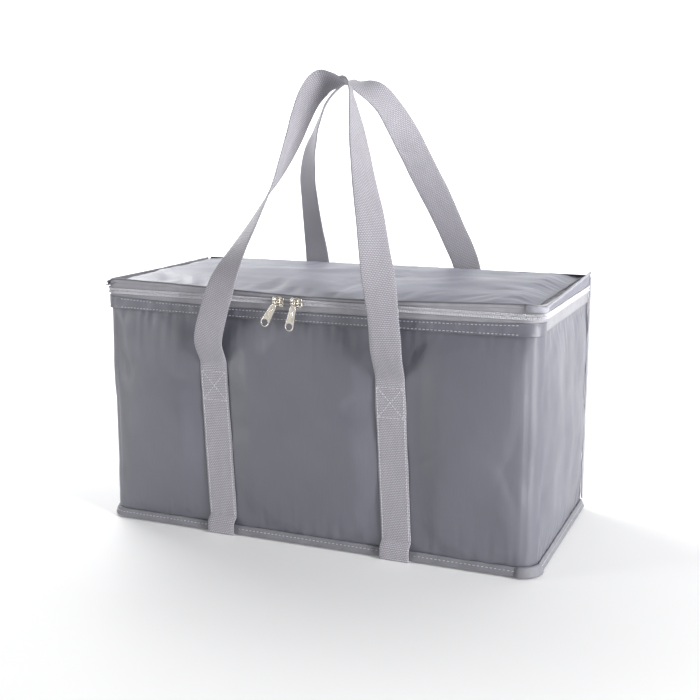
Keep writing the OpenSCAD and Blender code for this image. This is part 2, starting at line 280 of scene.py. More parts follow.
def board_section(half_out, half_up, cut_out, cut_up):
    """The outline of a standing board with its four corners cut off, in order round it."""
    out, up = half_out - cut_out, half_up - cut_up
    return np.array([(half_out, -up), (half_out, up), (out, half_up), (-out, half_up),
                     (-half_out, up), (-half_out, -up), (-out, -half_up), (out, -half_up)])


def curve_plate(name, loops, place, thickness, bevel):
    """A flat plate with rounded edges from closed outlines in (x, z), the first one the outside."""
    curve = bpy.data.curves.new(name, "CURVE")
    curve.dimensions = "2D"
    curve.fill_mode = "BOTH"
    curve.extrude = thickness / 2 - bevel
    curve.bevel_depth = bevel
    curve.bevel_resolution = 3
    curve.offset = -bevel
    for loop in loops:
        spline = curve.splines.new("POLY")
        spline.points.add(len(loop) - 1)
        for point, (x, z) in zip(spline.points, loop):
            point.co = (x, z, 0, 1)
        spline.use_cyclic_u = True
    holder = put(name, curve)
    bpy.context.view_layer.update()
    mesh = bpy.data.meshes.new_from_object(holder.evaluated_get(bpy.context.evaluated_depsgraph_get()))
    bpy.data.objects.remove(holder)
    mesh.vertices.foreach_set("co", (vertices(mesh)[:, [0, 2, 1]] * [1, -1, 1] + place).ravel())
    return put(name, mesh)


def join(name, objects):
    """One object from several, with their meshes merged."""
    points, faces = [], []
    for obj in objects:
        start = len(points)
        points += [tuple(v.co) for v in obj.data.vertices]
        faces += [[start + k for k in p.vertices] for p in obj.data.polygons]
        bpy.data.objects.remove(obj)
    return put(name, smooth_mesh(name, points, faces))


def bead(length, radius, sides=6):
    """A little stitch along x, lying on z = 0, its ends sunk into the cloth."""
    stations = np.array([-0.5, -0.42, -0.18, 0.18, 0.42, 0.5]) * length
    swell = np.array([0.25, 0.7, 1.0, 1.0, 0.7, 0.25]) * radius
    sink = np.array([-0.9, -0.25, 0.25, 0.25, -0.25, -0.9]) * radius
    angles = np.arange(sides) * 2 * math.pi / sides
    points = [(x, r * math.cos(a), r * math.sin(a) + h)
              for x, r, h in zip(stations, swell, sink) for a in angles]
    faces = [[k * sides + i, (k + 1) * sides + i, (k + 1) * sides + (i + 1) % sides,
              k * sides + (i + 1) % sides] for k in range(5) for i in range(sides)]
    faces.append(list(reversed(range(sides))))
    faces.append([5 * sides + i for i in range(sides)])
    return np.array(points), faces


def beads_object(name, runs, shape):
    """Many copies of one bead: each run is (points, directions, normals)."""
    template, faces = shape
    points, polygons = [], []
    for centres, directions, normals in runs:
        normals = unit(normals)
        directions = unit(directions - (directions * normals).sum(1, keepdims=True) * normals)
        across = np.cross(normals, directions)
        for c, d, a, n in zip(centres, directions, across, normals):
            start = len(points) * len(template)
            points.append(c + template[:, :1] * d + template[:, 1:2] * a + template[:, 2:] * n)
            polygons += [[start + k for k in face] for face in faces]
    return put(name, smooth_mesh(name, np.concatenate(points).tolist(), polygons))


def evenly(points, normals, pitch):
    """Stations along a line at an even pitch, as a run for beads_object."""
    length = arc_lengths(points)
    count = max(int(length[-1] / pitch), 1)
    at = (np.arange(count) + 0.5) * length[-1] / count
    pick = lambda values, where: np.stack([np.interp(where, length, values[:, k]) for k in range(3)], 1)
    ahead = pick(points, np.minimum(at + pitch / 4, length[-1]))
    behind = pick(points, np.maximum(at - pitch / 4, 0))
    return pick(points, at), ahead - behind, pick(normals, at)


def drape(grid, held, pressure, slack, cap, frames=20):
    """Lets a sheet settle as cloth between its held points, no further than cap from where it starts."""
    obj = grid_object("settling_cloth", grid)
    group = obj.vertex_groups.new(name="held")
    group.add([int(k) for k in np.flatnonzero(held.ravel())], 1.0, "REPLACE")
    modifier = obj.modifiers.new("cloth", "CLOTH")
    cloth = modifier.settings
    for key, value in (("quality", 6), ("mass", 0.15), ("tension_stiffness", 25),
                       ("compression_stiffness", 25), ("shear_stiffness", 8), ("bending_stiffness", 1.5),
                       ("air_damping", 4), ("vertex_group_mass", "held"), ("shrink_min", -slack),
                       ("use_pressure", True), ("uniform_pressure_force", pressure)):
        setattr(cloth, key, value)
    cloth.effector_weights.gravity = 0
    modifier.collision_settings.use_collision = False
    modifier.collision_settings.use_self_collision = False
    modifier.point_cache.frame_end = frames
    scene = bpy.context.scene
    for number in range(1, frames + 1):
        scene.frame_set(number)
    settled = vertices(obj.evaluated_get(bpy.context.evaluated_depsgraph_get()).data)
    scene.frame_set(1)
    bpy.data.objects.remove(obj)
    move = settled.reshape(grid.shape) - grid
    for _ in range(2):
        padded = np.pad(move, ((1, 1), (1, 1), (0, 0)), "edge")
        move = (padded[:-2, 1:-1] + padded[2:, 1:-1] + padded[1:-1, :-2] + padded[1:-1, 2:] + 4 * move) / 8
    move[held] = 0
    distance = np.linalg.norm(move, axis=-1, keepdims=True)
    return grid + move * np.minimum(1, cap / np.maximum(distance, 1e-9))


# ---- materials ----

class Finish:
    """A node material in the making: small helpers that add and join nodes."""

    def __init__(self, name, colour, roughness, metallic=0.0):
        self.material = bpy.data.materials.new(name)
        self.material.use_nodes = True
        self.material.diffuse_color = (*colour, 1)
        self.nodes = self.material.node_tree.nodes
        self.links = self.material.node_tree.links
        self.shader = self.nodes["Principled BSDF"]
        self.shader.inputs["Base Color"].default_value = (*colour, 1)
        self.shader.inputs["Roughness"].default_value = roughness
        self.shader.inputs["Metallic"].default_value = metallic
        self.base = colour
        self.bump_from = None

    def add(self, kind, **values):
        node = self.nodes.new(kind)
        for key, value in values.items():
            if key in node.inputs:
                node.inputs[key].default_value = value
            else:
                setattr(node, key, value)
        return node

    def place(self, source="Object", scale=(1, 1, 1), turn=(0, 0, 0)):
        where = self.add("ShaderNodeTexCoord")
        mapping = self.add("ShaderNodeMapping")
        mapping.inputs["Scale"].default_value = scale
        mapping.inputs["Rotation"].default_value = turn
        self.links.new(where.outputs[source], mapping.inputs["Vector"])
        return mapping.outputs["Vector"]

    def noise(self, vector, scale, detail=3.0, roughness=0.5):
        node = self.add("ShaderNodeTexNoise", Scale=scale, Detail=detail, Roughness=roughness)
        self.links.new(vector, node.inputs["Vector"])
        return node.outputs["Fac"]

    def wave(self, vector, pitch, direction, distortion=0.0):
        node = self.add("ShaderNodeTexWave", bands_direction=direction, Scale=2 * math.pi / 20 / pitch,
                        Distortion=distortion)
        self.links.new(vector, node.inputs["Vector"])
        return node.outputs["Fac"]

    def math(self, operation, a, b=None):
        node = self.add("ShaderNodeMath", operation=operation)
        for socket, value in zip(node.inputs, (a, b)):
            if value is None:
                continue
            if isinstance(value, (int, float)):
                socket.default_value = value
            else:
                self.links.new(value, socket)
        return node.outputs[0]

    def ramp(self, factor, low, high, dark, light):
        """A number from dark to light as the factor goes from low to high."""
        node = self.add("ShaderNodeMapRange", clamp=True)
        for name, value in (("From Min", low), ("From Max", high), ("To Min", dark), ("To Max", light)):
            node.inputs[name].default_value = value
        self.links.new(factor, node.inputs["Value"])
        return node.outputs["Result"]

    def mix(self, factor, first, second):
        node = self.add("ShaderNodeMix", data_type="RGBA")
        self.links.new(factor, node.inputs["Factor"])
        for socket, value in ((node.inputs[6], first), (node.inputs[7], second)):
            if isinstance(value, tuple):
                socket.default_value = (*value, 1)
            else:
                self.links.new(value, socket)
        return node.outputs[2]

    def tones(self, factor, low, high, dark, light):
        """The finish's own colour, from one shade of it to another as the factor goes from low to high."""
        tone = self.ramp(factor, low, high, 0, 1)
        return self.mix(tone, shade(self.base, dark), shade(self.base, light))

    def colour(self, output):
        self.links.new(output, self.shader.inputs["Base Color"])

    def rough(self, output):
        self.links.new(output, self.shader.inputs["Roughness"])

    def bump(self, height, distance, strength=1.0):
        node = self.add("ShaderNodeBump", Strength=strength, Distance=distance)
        self.links.new(height, node.inputs["Height"])
        if self.bump_from is not None:
            self.links.new(self.bump_from, node.inputs["Normal"])
        self.bump_from = node.outputs["Normal"]
        self.links.new(self.bump_from, self.shader.inputs["Normal"])

    def sheen(self, weight, roughness, tint):
        self.shader.inputs["Sheen Weight"].default_value = weight
        self.shader.inputs["Sheen Roughness"].default_value = roughness
        self.shader.inputs["Sheen Tint"].default_value = (*tint, 1)


def shade(colour, factor):
    return tuple(min(1.0, c * factor) for c in colour)


def nylon_finish(name, colour, roughness=0.42, gloss=0.9):
    """Coated taffeta: a fine over-and-under weave, slow swells of tone, and a satin sheen."""
    f = Finish(name, colour, roughness)
    here = f.place()
    swell = f.noise(here, 9.0, 4.0, 0.55)
    cloudy = f.tones(swell, 0.35, 0.65, 0.93, 1.06)
    thread_x = f.wave(here, 0.8 * MM, "X", 0.4)
    thread_y = f.wave(here, 0.8 * MM, "Y", 0.4)
    thread_z = f.wave(here, 0.8 * MM, "Z", 0.4)
    weave = f.math("MULTIPLY", f.math("ADD", thread_x, thread_y), thread_z)
    slub = f.noise(f.place(scale=(1, 1, 0.06)), 900.0, 2.0)
    f.colour(f.mix(f.ramp(slub, 0.3, 0.7, 0, 0.35), cloudy, shade(colour, 0.86)))
    f.rough(f.ramp(f.noise(here, 30.0, 5.0), 0.3, 0.7, roughness - 0.05, roughness + 0.07))
    f.bump(weave, 0.05 * MM, 0.5)
    f.bump(f.noise(here, 140.0, 4.0), 0.25 * MM, 0.35)
    f.sheen(0.15, 0.4, (0.85, 0.88, 1.0))
    f.shader.inputs["Specular IOR Level"].default_value = gloss
    return f.material


def webbing_finish(name, colour):
    """Woven webbing: short raised floats in staggered rows, with painted shade in the gaps between them."""
    f = Finish(name, colour, 0.6)
    cloth = f.place("UV")
    pattern = f.add("ShaderNodeTexBrick", offset=0.5, squash=1.0)
    for key, value in (("Scale", 1.0), ("Mortar Size", 0.42 * MM), ("Mortar Smooth", 0.6), ("Bias", 0.0),
                       ("Brick Width", 2.5 * MM), ("Row Height", 1.7 * MM)):
        pattern.inputs[key].default_value = value
    f.links.new(cloth, pattern.inputs["Vector"])
    gap = pattern.outputs["Fac"]
    tone = f.noise(f.place("UV", (1, 0.25, 1)), 160.0, 3.0)
    base = f.tones(tone, 0.3, 0.7, 0.92, 1.05)
    # Painted shade: the gaps between the floats are painted half as bright.
    f.colour(f.mix(gap, base, shade(colour, 0.5)))
    f.rough(f.ramp(gap, 0, 1, 0.5, 0.78))
    f.bump(f.math("SUBTRACT", 1.0, gap), 0.6 * MM, 1.0)
    f.bump(f.noise(cloth, 2400.0, 2.0), 0.05 * MM, 0.4)
    f.sheen(0.3, 0.5, (0.95, 0.93, 1.0))
    return f.material


def tape_finish(name, colour, pitch):
    """Ribbed binding or zip tape: fine ribs across it with painted shade in the grooves between them, a
    little uneven in tone.
    """
    f = Finish(name, colour, 0.55)
    cloth = f.place("UV")
    ribs = f.wave(cloth, pitch, "Y", 0.6)
    cords = f.wave(cloth, pitch * 1.6, "X", 0.3)
    wear = f.noise(f.place(), 60.0, 4.0)
    base = f.tones(wear, 0.35, 0.7, 0.9, 1.08)
    # Painted shade: the grooves between the ribs are painted darker; the wear noise is uneven tone.
    f.colour(f.mix(f.ramp(ribs, 0.0, 0.5, 0.3, 0), base, shade(colour, 0.7)))
    f.bump(f.math("ADD", ribs, cords), 0.12 * MM, 0.5)
    f.sheen(0.2, 0.4, (0.9, 0.92, 1.0))
    return f.material


def thread_finish(name, colour):
    f = Finish(name, colour, 0.5)
    twist = f.wave(f.place(turn=(0.6, 0.5, 0.4)), 0.5 * MM, "X", 1.0)
    # Painted shade and light: the twist's grooves are painted darker and its ridges lighter.
    f.colour(f.mix(twist, shade(colour, 0.82), shade(colour, 1.1)))
    f.bump(twist, 0.06 * MM, 0.5)
    f.sheen(0.2, 0.5, (1, 1, 1))
    return f.material


def coil_finish(name, colour):
    f = Finish(name, colour, 0.35)
    fleck = f.noise(f.place(), 700.0, 2.0)
    f.colour(f.tones(fleck, 0.35, 0.65, 0.88, 1.08))
    f.rough(f.ramp(fleck, 0.3, 0.7, 0.28, 0.45))
    f.bump(fleck, 0.04 * MM, 0.3)
    return f.material


def nickel_finish(name, colour):
    """Bright plated zinc: nearly a mirror, with hairline scratches and dull spots where it rubs."""
    f = Finish(name, colour, 0.16, 1.0)
    here = f.place()
    scratch = f.noise(f.place(scale=(1, 1, 0.08), turn=(0, 0.35, 0)), 3500.0, 2.0)
    spots = f.noise(here, 420.0, 4.0)
    f.colour(f.mix(f.ramp(spots, 0.45, 0.7, 0, 1), colour, shade(colour, 0.8)))
    f.rough(f.ramp(spots, 0.3, 0.75, 0.1, 0.32))
    f.bump(scratch, 0.02 * MM, 0.5)
    return f.material


def foil_finish(name, colour):
    """Foil film on foam: a crumpled mirror with small sharp creases."""
    f = Finish(name, colour, 0.25, 0.9)
    here = f.place()
    crease = f.add("ShaderNodeTexVoronoi", feature="DISTANCE_TO_EDGE", Scale=48.0)
    f.links.new(here, crease.inputs["Vector"])
    folds = f.ramp(crease.outputs["Distance"], 0.0, 0.12, 0, 1)
    soft = f.noise(here, 22.0, 2.0, 0.4)
    f.colour(f.tones(soft, 0.3, 0.7, 0.92, 1.03))
    f.rough(f.ramp(f.noise(here, 90.0, 3.0), 0.3, 0.7, 0.3, 0.42))
    f.bump(folds, 0.25 * MM, 0.3)
    f.bump(soft, 0.9 * MM, 0.35)
    return f.material


def foam_finish(name, colour):
    """Closed-cell foam: tiny bubbles and a matt skin."""
    f = Finish(name, colour, 0.85)
    cells = f.add("ShaderNodeTexVoronoi", Scale=650.0)
    f.links.new(f.place(), cells.inputs["Vector"])
    depth = cells.outputs["Distance"]
    f.colour(f.tones(depth, 0.0, 0.7, 1.0, 0.86))
    f.bump(depth, 0.3 * MM, 0.5)
    return f.material


def floor_finish(name, colour, glow=0.0):
    f = Finish(name, colour, 0.7)
    f.colour(f.mix(f.noise(f.place(), 3.0, 2.0), shade(colour, 0.99), colour))
    f.shader.inputs["Emission Color"].default_value = (1, 1, 1, 1)
    split = f.add("ShaderNodeSeparateXYZ")
    f.links.new(f.place(), split.inputs[0])
    f.links.new(f.ramp(split.outputs["Y"], 0.1, 1.6, glow, 1.0), f.shader.inputs["Emission Strength"])
    return f.material


FINISHES = {}


def finish(name):
    """The named material, made once from the colours in the scene's settings."""
    if name not in FINISHES:
        colours = bpy.context.scene.cooler_bag_colours
        recipes = {
            "nylon": (nylon_finish, colours.nylon, 1),
            # Painted light: the lid's top and its side strips get the same nylon painted 1.4 times lighter,
            # standing in for the light falling on them.
            "lid_nylon": (nylon_finish, colours.nylon, 1.4, 0.46, 0.3),
            "binding": (tape_finish, colours.binding, 1, 0.9 * MM),
            # Painted light: the binding painted 1.7 times lighter, for the side-lit back corners, the lid's
            # corner ear and the side strips' edges.
            "pale_binding": (tape_finish, colours.binding, 1.7, 0.9 * MM),
            # Painted shade: the lid's pipings are real pipings, but their binding is painted 0.7 times darker
            # to stand for the thin shadow under the lid's edge.
            "piping": (tape_finish, colours.binding, 0.7, 0.9 * MM),
            "zip_tape": (tape_finish, colours.zip, 1, 0.6 * MM),
            "coil": (coil_finish, colours.coil, 1),
            "webbing": (webbing_finish, colours.webbing, 1),
            "thread": (thread_finish, colours.thread, 1),
            "nickel": (nickel_finish, colours.metal, 1),
            "foil": (foil_finish, colours.foil, 1),
            "foam": (foam_finish, colours.foam, 1),
            "floor": (floor_finish, (0.78, 0.78, 0.78), 1, 0.12),
            "backdrop": (floor_finish, (0.9, 0.9, 0.9), 1, 0.9),
        }
        make, colour, tone, *more = recipes[name]
        FINISHES[name] = make(name, shade(tuple(colour), tone), *more)
    return FINISHES[name]


def dress(obj, finish_name, body, slot, *nodes):
    """Gives a piece its material, the body it rides on, and the frame nodes it stands for. Its slot is not
    used.
    """
    obj.data.materials.clear()
    obj.data.materials.append(finish(finish_name))
    if body:
        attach(obj, body)
    if nodes:
        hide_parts(*nodes)
    return obj


def fabric(name, grid, thickness, *dressing, closed=(False, False), offset=-1.0):
    """A grid of points as a layer of cloth, dressed."""
    return dress(thicken(grid_object(name, grid, closed=closed), thickness, offset), *dressing)


# ---- the bag's soft shapes ----

def spread(low, high, count, rows):
    """A grid of places from low to high, and of shares from 0 to 1 across them."""
    return np.meshgrid(np.linspace(low, high, count), np.linspace(0, 1, rows), indexing="ij")


def front_limit(x, half_x, half_y, radius):
    """The front edge of a plan with round front corners, at each x."""
    past = np.clip(np.abs(x) - (half_x - radius), 0, radius)
    return -half_y + radius - np.sqrt(np.maximum(radius ** 2 - past ** 2, 0))


def slab(name, half_x, half_y, back_y, radius, low, high, counts=(60, 28)):
    """A closed soft slab on the bag's plan. Its lower and upper faces are functions of x and y."""
    side = np.linspace(-math.pi / 2, math.pi / 2, counts[0])
    x = np.sin(side) * (half_x - 0.02 * MM)
    front = front_limit(x, half_x, half_y, radius)
    share = (1 - np.cos(np.linspace(0, math.pi, counts[1]))) / 2
    y = front[:, None] + (back_y - front)[:, None] * share[None, :]
    across = np.broadcast_to(x[:, None], y.shape)
    bottom, top = low(across, y), high(across, y)
    middle_z = (bottom + top) / 2
    edge = np.minimum(np.minimum(half_x - np.abs(across), back_y - y), y - front[:, None])
    pinch = np.sqrt(np.clip(edge / (0.4 * (top - bottom)), 0, 1)) * 0.45 + 0.55
    top, bottom = middle_z + (top - middle_z) * pinch, middle_z + (bottom - middle_z) * pinch
    upper = np.stack([across, y, top], -1)
    lower = np.stack([across, y, bottom], -1)[:, ::-1]
    return grid_object(name, np.concatenate([upper, lower], 1), closed=(False, True), caps=True)


def strap_middle(side, z):
    """How far across a front strap's middle is at a height: the straps lean a little to the left."""
    return side * STRAP_X - FRONT_LEAN * np.clip((z - 18.6 * MM) / (148 * MM), 0, 1)


def wall_swell(point, normal, length, z):
    """How far the padded wall stands out at places round it and up it."""
    sizes = bpy.context.scene.cooler_bag_sizes
    x, y = point[..., 0], point[..., 1]
    front = np.clip(-normal[..., 1], 0, 1)
    side = np.abs(normal[..., 0])
    upright = hump(np.clip((z - 14 * MM) / (205 * MM), 0, 1)) ** 0.7
    free = 1.0
    for which in (-1, 1):
        away = np.abs(x - strap_middle(which, z)) - STRAP_W / 2
        held = 1 - smoothstep(-1 * MM, 26 * MM, away)
        held = held * (1 - smoothstep(178 * MM, 204 * MM, z))
        free = free * (1 - held)
    past = (np.abs(x) - 130 * MM) / (84 * MM)
    outer = smoothstep(105 * MM, 140 * MM, np.abs(x)) * np.sqrt(np.clip(1 - past ** 2, 0, 1))
    between = 1 - smoothstep(60 * MM, 110 * MM, np.abs(x))
    front_swell = sizes.panel_swell * upright * free * np.maximum(between, 1.5 * outer)
    side_ends = smoothstep(-WALL_Y, -WALL_Y + 60 * MM, y) * (1 - smoothstep(WALL_Y - 50 * MM, WALL_Y, y))
    side_swell = 1.1 * sizes.panel_swell * upright * side_ends
    soft = ripple(length, z, 80 * MM, 3) * 0.75
    soft = soft + ripple(length + 0.4 * z, z * 0.6 - 0.3 * length, 30 * MM, 4) * 0.17
    tall = ripple(length, z * 0.45, 48 * MM, 6) * 0.7 + ripple(length, z * 0.5, 20 * MM, 7) * 0.08
    soft = soft + side * tall
    dent_x, dent_z = x - 112 * MM, z - 96 * MM
    dimple = 1.7 * np.exp(-(dent_x / (15 * MM)) ** 2 - ((dent_z - dent_x * 0.5) / (4.5 * MM)) ** 2)
    soft = soft * upright - dimple * front
    above = np.clip(z - 12 * MM, 0, 1)
    below = np.clip(RIM_Z - 14 * MM - z, 0, 1)
    gather = ripple(length, z * 0.12, 8.5 * MM, 5)
    gathers = gather * (0.5 * np.exp(-above / (17 * MM)) + 0.34 * np.exp(-below / (18 * MM)))
    straps_flat = 1 - front * (1 - free)
    out = front * front_swell + side * side_swell + (soft + gathers) * sizes.wrinkle * MM * straps_flat
    inside = smoothstep(0, 12 * MM, z - BASE_Z) * (1 - smoothstep(RIM_Z - 12 * MM, RIM_Z - 2 * MM, z))
    return np.maximum(out * inside, -0.2 * MM)


def wall_grid(columns, rows):
    plan, normals, length = wrap_line(0, WALL_Y, columns)
    z = np.linspace(BASE_Z + 0.1 * MM, RIM_Z - 0.1 * MM, rows)
    point = np.repeat(plan[:, None, :], rows, 1)
    normal = np.repeat(normals[:, None, :], rows, 1)
    height = np.broadcast_to(z[None, :], point.shape[:2])
    along = np.broadcast_to(length[:, None], height.shape)
    out = wall_swell(point, normal, along, height)
    grid = np.concatenate([point + normal * out[..., None], height[..., None]], -1)
    return grid, np.concatenate([normal, np.zeros_like(height)[..., None]], -1)


def hem_edges(x):
    """Heights of the hem's top and bottom edges: the top sags a little in the middle."""
    share = np.minimum(np.abs(x / (209 * MM)), 1)
    return RIM_Z - 0.1 * MM - 3.4 * MM * (1 - share ** 3), RIM_Z - 13.4 * MM + 1.2 * MM * share ** 2


def lid_front_edge(x):
    """Height of the lid's front edge: the zip pulls its middle down."""
    sag = 7.2 * MM * np.exp(-((x - 25 * MM) / (165 * MM)) ** 2)
    return TOP_Z - 0.8 * MM - sag + ripple(x, 0, 34 * MM, 14) * 0.18 * MM


def lid_height(x, y):
    """Height of the lid's soft top."""
    sizes = bpy.context.scene.cooler_bag_sizes
    v = np.clip((y + WALL_Y + 1.5 * MM) / (2 * WALL_Y), 0, 1)
    back = HINGE.z + 1.2 * MM
    flat = lid_front_edge(x) * (1 - v) + back * v
    dome = sizes.lid_dome * (1 - np.abs(x / (225 * MM)) ** 6) * hump(v) ** 0.65
    soft = ripple(x, y, 110 * MM, 11) * 0.8 + ripple(x * 0.45 + y * 0.3, y - x * 0.25, 36 * MM, 12) * 0.36
    past = np.abs(x)
    z = flat + dome + soft * sizes.wrinkle * MM * hump(v)
    pucker = ripple(y, x * 0.1, 13 * MM, 13) * 0.7 * MM * hump(v) ** 0.3
    pucker = pucker * smoothstep(185 * MM, 212 * MM, past)
    edge = 248.6 * MM + 1.6 * MM * v
    roll = smoothstep(196 * MM, 218 * MM, past)
    z = (z + pucker) * (1 - roll) + edge * roll
    drop = smoothstep(218 * MM, 221.5 * MM, past)
    return z * (1 - drop) + (246.4 * MM) * drop


def side_strip_top(y, side):
    """Height of the strip that stands up beside the lid: higher on the right, and towards the back."""
    v = np.clip((y + WALL_Y) / (2 * WALL_Y), 0, 1)
    rise = (7.6 if side > 0 else 3.2) * MM
    return 248.3 * MM + rise * v ** 1.15 + ripple(y, 0, 26 * MM, 21) * 0.25 * MM


# ---- webbing ----

def handle_rows(facing):
    """Rows up a strap, over the handle and down: x, y, z, and the turn and tilt of the webbing's width."""
    pinch = STRAP_W / 2 + 2 * MM
    lean = FRONT_LEAN if facing < 0 else 0

    def row(across, out, up, turn, tilt):
        return [across * STRAP_X, out * WALL_Y, STITCH_Z + up * HANDLE_UP, turn, tilt]

    def near_row(across, out, up, turn, tilt):
        return [across * STRAP_X, out * pinch, STITCH_Z + up * HANDLE_UP, turn, tilt]

    def strap_rows(x, turn):
        out = WALL_Y + 7.1 * MM
        low = [(15, 0.8), (5, 0.8), (1.2, 1.0), (0.1, 2.2), (0, 5), (0, 9), (0.3, 12.4), (2.6, 15.4),
               (5.2, 17.6)]
        rows = [[x, facing * (out - inwards * MM), z * MM, turn, 0] for inwards, z in low]
        for z in (20.5, 24, 32, 50, 75, 100, 125, 150):
            along = min(max((z - 18.6) / 148, 0), 1)
            rows.append([x - lean * along, facing * (WALL_Y + STRAP_OUT), z * MM, turn, 0])
        rows.append([x - lean, facing * (WALL_Y + STRAP_OUT), STITCH_Z, turn, 0])
        rows.append([x - lean, facing * (WALL_Y + STRAP_OUT + 1 * MM), STITCH_Z + 10 * MM, turn, 0])
        return rows

    if facing < 0:
        middle_rows = [row(-1.06, -1.135, 0.115, 180, 0), row(-0.97, -1.155, 0.22, 178, 0),
                       row(-0.86, -1.135, 0.33, 170, 0), row(-0.74, -1.05, 0.43, 146, 0),
                       row(-0.63, -0.93, 0.52, 129, 0), row(-0.52, -0.80, 0.62, 115, 0),
                       row(-0.45, -0.65, 0.71, 98, -2), row(-0.40, -0.49, 0.806, 86, -6),
                       row(-0.375, -0.38, 0.875, 78, -12), near_row(-0.33, -1.68, 0.946, 68, -26),
                       near_row(-0.235, -1.25, 0.994, 66, -42), near_row(-0.11, -1.03, 1.005, 88, -28),
                       [-3 * MM + pinch * 0.37, -pinch * 0.93, STITCH_Z + HANDLE_UP, 112, -4],
                       near_row(0.14, -1.37, 0.955, 108, 0), row(0.25, -0.37, 0.88, 94, 0),
                       row(0.38, -0.55, 0.77, 79, 0), row(0.51, -0.72, 0.66, 67, 0),
                       row(0.64, -0.88, 0.56, 53, 0), row(0.76, -1.03, 0.44, 34, 0),
                       row(0.85, -1.11, 0.33, 14, 0), row(0.91, -1.155, 0.22, 3, 0),
                       row(0.93, -1.135, 0.115, 0, 0)]
    else:
        middle_rows = [row(-1.0, 1.135, 0.115, 180, 0), row(-0.97, 1.16, 0.22, 179, 0),
                       row(-0.97, 1.12, 0.33, 172, 0), row(-0.975, 1.04, 0.44, 160, 0),
                       row(-0.95, 0.92, 0.54, 151, 0), row(-0.90, 0.77, 0.64, 144, 0),
                       row(-0.80, 0.63, 0.73, 136, 0), row(-0.67, 0.50, 0.80, 124, 0),
                       row(-0.54, 0.38, 0.87, 117, 0), near_row(-0.36, 1.56, 0.945, 114, 0),
                       [-3 * MM - pinch * 0.37, pinch * 0.93, STITCH_Z + HANDLE_UP, 112, 4],
                       near_row(0.08, 0.935, 0.985, 98, 28), near_row(0.25, 1.5, 0.95, 74, 50),
                       row(0.36, 0.38, 0.88, 52, 40), row(0.465, 0.53, 0.79, 36, 26),
                       row(0.575, 0.70, 0.68, 26, 16), row(0.69, 0.87, 0.57, 18, 8),
                       row(0.81, 1.02, 0.45, 10, 0), row(0.94, 1.12, 0.33, 4, 0),
                       row(1.0, 1.16, 0.22, 0, 0), row(1.0, 1.135, 0.115, 0, 0)]
    return strap_rows(-STRAP_X, 180) + middle_rows + strap_rows(STRAP_X, 0)[::-1]


def webbing_frames(facing, steps):
    """Points along the webbing, with its width direction and its face direction."""
    rows = cubic(handle_rows(facing), steps)
    path = rows[:, :3]
    turn, tilt = np.radians(rows[:, 3]), np.radians(rows[:, 4])
    width = np.stack([np.cos(turn) * np.cos(tilt), np.sin(turn) * np.cos(tilt), np.sin(tilt)], 1)
    tangent = unit(np.gradient(path, axis=0))
    width = unit(width - (width * tangent).sum(1, keepdims=True) * tangent)
    return path, width, np.cross(tangent, width)


def strap_point(side, facing, across, z):
    """A point on the outer face of a strap, at a place across it and a height."""
    lean = strap_middle(side, z) if facing < 0 else side * STRAP_X
    return np.array([lean + across, facing * (WALL_Y + STRAP_OUT + 0.85 * MM), z])


def stitch_run(points, normal, pitch):
    points = np.array(points, float)
    return evenly(points, every(normal, points), pitch)


# ---- the add-on ----

def length_property(name, description, default, low, high):
    return bpy.props.FloatProperty(
        name=name, description=description, default=default, min=low, max=high, unit="LENGTH",
        subtype="DISTANCE")


class CoolerBagSizes(bpy.types.PropertyGroup):
    panel_swell: length_property(
        "Panel swell", "How far the padded panels stand out between their seams", 0.0048, 0, 0.01)
    lid_dome: length_property("Lid dome", "How far the padded lid rises between its edges", 0.0050, 0, 0.015)
    wrinkle: bpy.props.FloatProperty(
        name="Wrinkles", description="Strength of the wrinkles and gathers in the fabric", default=1.0,
        min=0, max=3)
    stitch_pitch: length_property("Stitch pitch", "Distance from one stitch to the next", 0.0034, 0.001, 0.01)
    tooth_pitch: length_property(
        "Tooth pitch", "Distance from one turn of the zip's coil to the next", 0.00155, 0.0008, 0.004)


def colour_property(name, description, default):
    return bpy.props.FloatVectorProperty(
        name=name, description=description, default=default, min=0, max=1, size=3, subtype="COLOR")


class CoolerBagColours(bpy.types.PropertyGroup):
    nylon: colour_property("Nylon", "Outer fabric of the body and the lid", (0.124, 0.126, 0.155))
    binding: colour_property("Binding", "Tape sewn over the seams, and the piping", (0.20, 0.20, 0.225))
    zip: colour_property("Zip tape", "Woven tape of the zip", (0.34, 0.335, 0.365))
    coil: colour_property("Zip coil", "Coil of the zip", (0.62, 0.615, 0.66))
    webbing: colour_property("Webbing", "Straps and handles", (0.53, 0.51, 0.565))
    thread: colour_property("Thread", "Sewing thread", (0.66, 0.65, 0.69))
    metal: colour_property("Metal", "Sliders and pulls", (0.80, 0.75, 0.67))
    foil: colour_property("Foil", "Lining", (0.82, 0.83, 0.85))
    foam: colour_property("Foam", "Padding inside the walls", (0.80, 0.80, 0.78))


